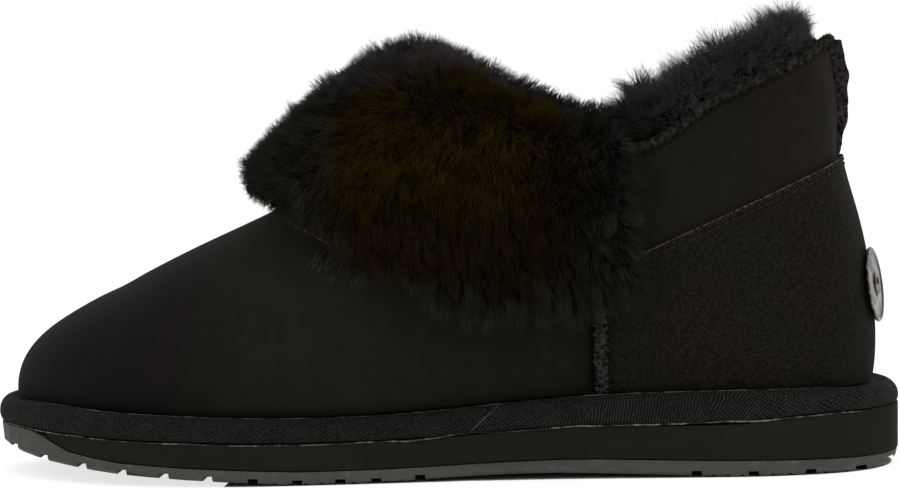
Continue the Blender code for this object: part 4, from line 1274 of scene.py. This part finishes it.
for number, part in enumerate(np.array_split(order, CUFF_PARTS)):
    spots = roots[part]
    low_share, high_share = ramp(spots[:, 2], *LOW_HAIR), ramp(spots[:, 2], *HIGH_HAIR)
    rear_share, front_share = ramp(spots[:, 0], *REAR_HAIR), ramp(spots[:, 0], *FRONT_HAIR)
    toe_share = ramp(spots[:, 0], *TOE_HAIR)
    combed = np.prod([ramp(spots[:, axis], start, full) for axis, start, full in COMBED], axis=0)
    lean = (np.outer(low_share, (-0.25, 0.0, -0.85)) + np.outer(high_share, (0.0, 0.0, 0.65))
            + np.outer(rear_share, (-0.45, 0.0, -0.25)) + np.outer(front_share, (0.1, 0.0, 0.5))
            + (0.0, 0.0, -0.35))
    reach = CUFF_HAIR_LONG * (1 - 0.15 * rear_share - 0.25 * front_share) * (1 - 0.45 * low_share * toe_share)
    tufts = hairs(f"cuff_hair_{number}", spots, normals[part] + np.outer(combed, (0.0, 0.0, -0.75)), lean,
                  reach * (1 - 0.1 * combed), HAIR_WIDE, rng, crowd=CUFF_LOCK,
                  gather=(0.22 + 0.4 * low_share)[:, None], stray=0.24, longer=1.25)
    settle(tufts, wool, "fleece")

# The pelt's raw edge where it leaves the instep, and two loose tufts under it.
CUFF_EDGE = (
    (0.1430, 0.0175, 0.0749), (0.1388, 0.0225, 0.0735), (0.1329, 0.0275, 0.0711), (0.1282, 0.0300, 0.0685),
)
CUFF_EDGE_STEPS = 60
CUFF_EDGE_THICK = 0.28 * MM
CUFF_TUFTS = (
    (0.1318, 0.0314, 0.0665), (0.1290, 0.0320, 0.0650), (0.1268, 0.0331, 0.0640),
    (0.1214, 0.0334, 0.0622), (0.1190, 0.0337, 0.0605),
)
TUFT_HAIRS = 130
TUFT_WIDE = 1.3 * MM
TUFT_LONG = 4.5 * MM

loose_hair, sockets, place = new_finish("loose_hair", 0.7, 0.03)
feed(sockets,
     Base_Color=tint(painted(place, "tone") * 0.4 + painted(place, "tip") * 0.6,
                     (20, 19, 17), (70, 68, 63)))

for side, across in SIDES:
    rng = np.random.default_rng(27)
    line = curve_through(np.array(CUFF_EDGE) * (1.0, across, 1.0), CUFF_EDGE_STEPS)
    path = lay(line, upper_surface, 0.1 * MM)[0]
    swell = rng.uniform(0.6, 1.2, CUFF_EDGE_STEPS)
    cord = cord_along("cuff_edge_" + side, path, CUFF_EDGE_THICK, swell)
    settle(cord, cut_edge_and_highlight, "fleece")
    spots = np.concatenate([np.array(spot) * (1.0, across, 1.0) + rng.normal(0, TUFT_WIDE, (TUFT_HAIRS, 3))
                            for spot in CUFF_TUFTS])
    spots, normals = lay(spots, upper_surface, 0.0)
    along = normals * 0.45 + (0.3, 0.0, -0.9)
    tufts = hairs("cuff_tufts_" + side, spots, along, (0.1, 0.0, -0.2), TUFT_LONG, HAIR_WIDE, rng,
                  crowd=40, gather=0.6, stray=0.2)
    settle(tufts, loose_hair, "fleece")

# ---------------------------------------------------------------------------------------------
# Rear fleece: the sheepskin lines the whole collar, and behind the cuff its hair stands above
# the raw edge, falls a little inwards and spreads towards the cuff and the back.
RIM_SINK = 2.2 * MM
RIM_HAIRS = 50000
RIM_HAIR_LONG = 6.8 * MM
RIM_HAIR_WIDE = HAIR_WIDE * 0.9
RIM_STRETCH = 9.0 * MM
RIM_STRETCHED = (0.021, 0.0365)
RIM_LOW = 0.07
RIM_FREE = 5 * MM
NEAR_CUFF, NEAR_EDGE, NEAR_BACK = (0.030, 0.045), (4 * MM, 1 * MM), (-0.003, -0.013)
# How the fleece's top rises or sinks along the foot.
RIM_RISE = (
    (-0.016, -5.6), (-0.0125, -5.4), (-0.0100, -5.2), (-0.0068, 0.8), (0.0, 0.5), (0.0075, -0.4),
    (0.0147, 1.0), (0.022, 0.6), (0.0255, -0.5), (0.031, -2.2), (0.035, -2.4), (0.041, -1.0), (0.047, 1.8),
    (0.052, 2.4),
)

rim = pelt("collar_fleece", "collar_pelt", RIM_SINK)
places = points_of(rim)
ahead = ramp(places[:, 0], *RIM_STRETCHED)
ahead = ahead * ahead * (3 - 2 * ahead)
places[:, 0] += ahead * RIM_STRETCH
stood = ramp(height_over_upper(places), 0.0, RIM_FREE)
places[:, 2] += look_up(RIM_RISE, places[:, 0]) * MM * stood
place_points(rim, places)
settle(rim, wool_skin, "fleece", "collar_fleece")
rng = np.random.default_rng(31)
roots, normals = scatter(
    rim, RIM_HAIRS, rng, lambda at, facing: turned_away(at, facing) * (at[:, 2] > RIM_LOW))
near_cuff, near_back = ramp(roots[:, 0], *NEAR_CUFF), ramp(roots[:, 0], *NEAR_BACK)
near_edge = ramp(height_over_upper(roots), *NEAR_EDGE)
lean = np.stack([0.3 * near_cuff + 0.6 * near_back, -0.7 * near_edge * np.sign(roots[:, 1]),
                 0.25 + 0.2 * near_cuff + 0.7 * near_edge], axis=1)
reach = RIM_HAIR_LONG * (1.0 - 0.5 * near_edge - 0.3 * near_back)
tufts = hairs("collar_hair", roots, normals, lean, reach, RIM_HAIR_WIDE, rng,
              crowd=45, gather=0.45, curl=0.25)
settle(tufts, wool, "fleece")

# ---------------------------------------------------------------------------------------------
# Badge: a stamped and low-domed steel disc, riveted through the heel quarter. It has a rolled rim
# and a plain raised ring round its hollow rivet.
BADGE_RADIUS = 11.25 * MM
BADGE_THICK = 1.2 * MM
BADGE_TILT = math.radians(7.0)
BADGE_TURN = math.radians(-9.5)
BADGE_SEAT = Vector((-0.02865, 0.0044, 0.0528))
# Rings of the disc from the rim to the middle: radius and height in millimetres.
BADGE_RINGS = (
    (10.9, 1.50), (10.4, 1.65), (9.9, 1.40), (9.4, 1.15), (8.6, 1.20), (6.6, 1.40), (4.6, 1.50),
    (3.7, 1.50), (3.4, 1.85), (3.0, 2.05), (2.5, 1.95), (2.2, 1.40), (2.0, 0.80), (1.1, 0.70),
)

bpy.ops.mesh.primitive_cylinder_add(
    vertices=96, radius=BADGE_RADIUS, depth=BADGE_THICK, location=(0, 0, BADGE_THICK / 2))
badge = bpy.context.object
badge.name = "heel_disc"
bpy.ops.object.transform_apply(location=True)
edit = bmesh.new()
edit.from_mesh(badge.data)
edit.faces.ensure_lookup_table()
face = max(edit.faces, key=lambda f: f.calc_center_median().z if len(f.verts) > 4 else -1)
radius = BADGE_RADIUS
for ring_radius, height in BADGE_RINGS:
    bmesh.ops.inset_region(edit, faces=[face], thickness=radius - ring_radius * MM, use_even_offset=True)
    radius = ring_radius * MM
    for vert in face.verts:
        vert.co.z = height * MM
bmesh.ops.poke(edit, faces=[face])
edit.to_mesh(badge.data)
edit.free()
refine(badge, 1)
reach = np.hypot(*points_of(badge)[:, :2].T) / MM
# Painted shade lies round the ring and inside the rim, in the rivet's hollow and at the disc's very edge.
crevice_shade = np.exp(-((reach - 3.6) / 0.6) ** 2) + np.exp(-((reach - 9.5) / 0.5) ** 2)
crevice_shade += ramp(reach, 2.2, 1.9) + ramp(reach, 10.9, 11.2)
badge.data.attributes.new("crevice_shade", "FLOAT", "POINT").data.foreach_set("value", np.clip(crevice_shade, 0, 1))
turn = Matrix.Rotation(BADGE_TURN, 4, "Z") @ Matrix.Rotation(-math.pi / 2 + BADGE_TILT, 4, "Y")
badge.data.transform(Matrix.Translation(BADGE_SEAT) @ turn)
smooth_shade(badge, 50.0)

steel, sockets, place = new_finish("worn_steel", 0.3, 0.5, Metallic=1.0)
wear = fibre(place, 260.0, 4.0, 0.7)
scratch = fibre(place, 1400.0, 3.0, 0.7)
tarnish = between(fibre(place, 200.0, 3.0, 0.6), 0.42, 0.6)
bare = tint(tarnish, (42, 39, 36), (128, 123, 117))
# The steel is darkened by the painted shade in its creases.
feed(sockets,
     Base_Color=tint(painted(place, "crevice_shade"), bare, (12, 10, 9)),
     Roughness=0.2 + wear * 0.24,
     Normal=raised(scratch + wear * 1.5, 0.03 * MM))
settle(badge, steel, "metal", "heel_badge")
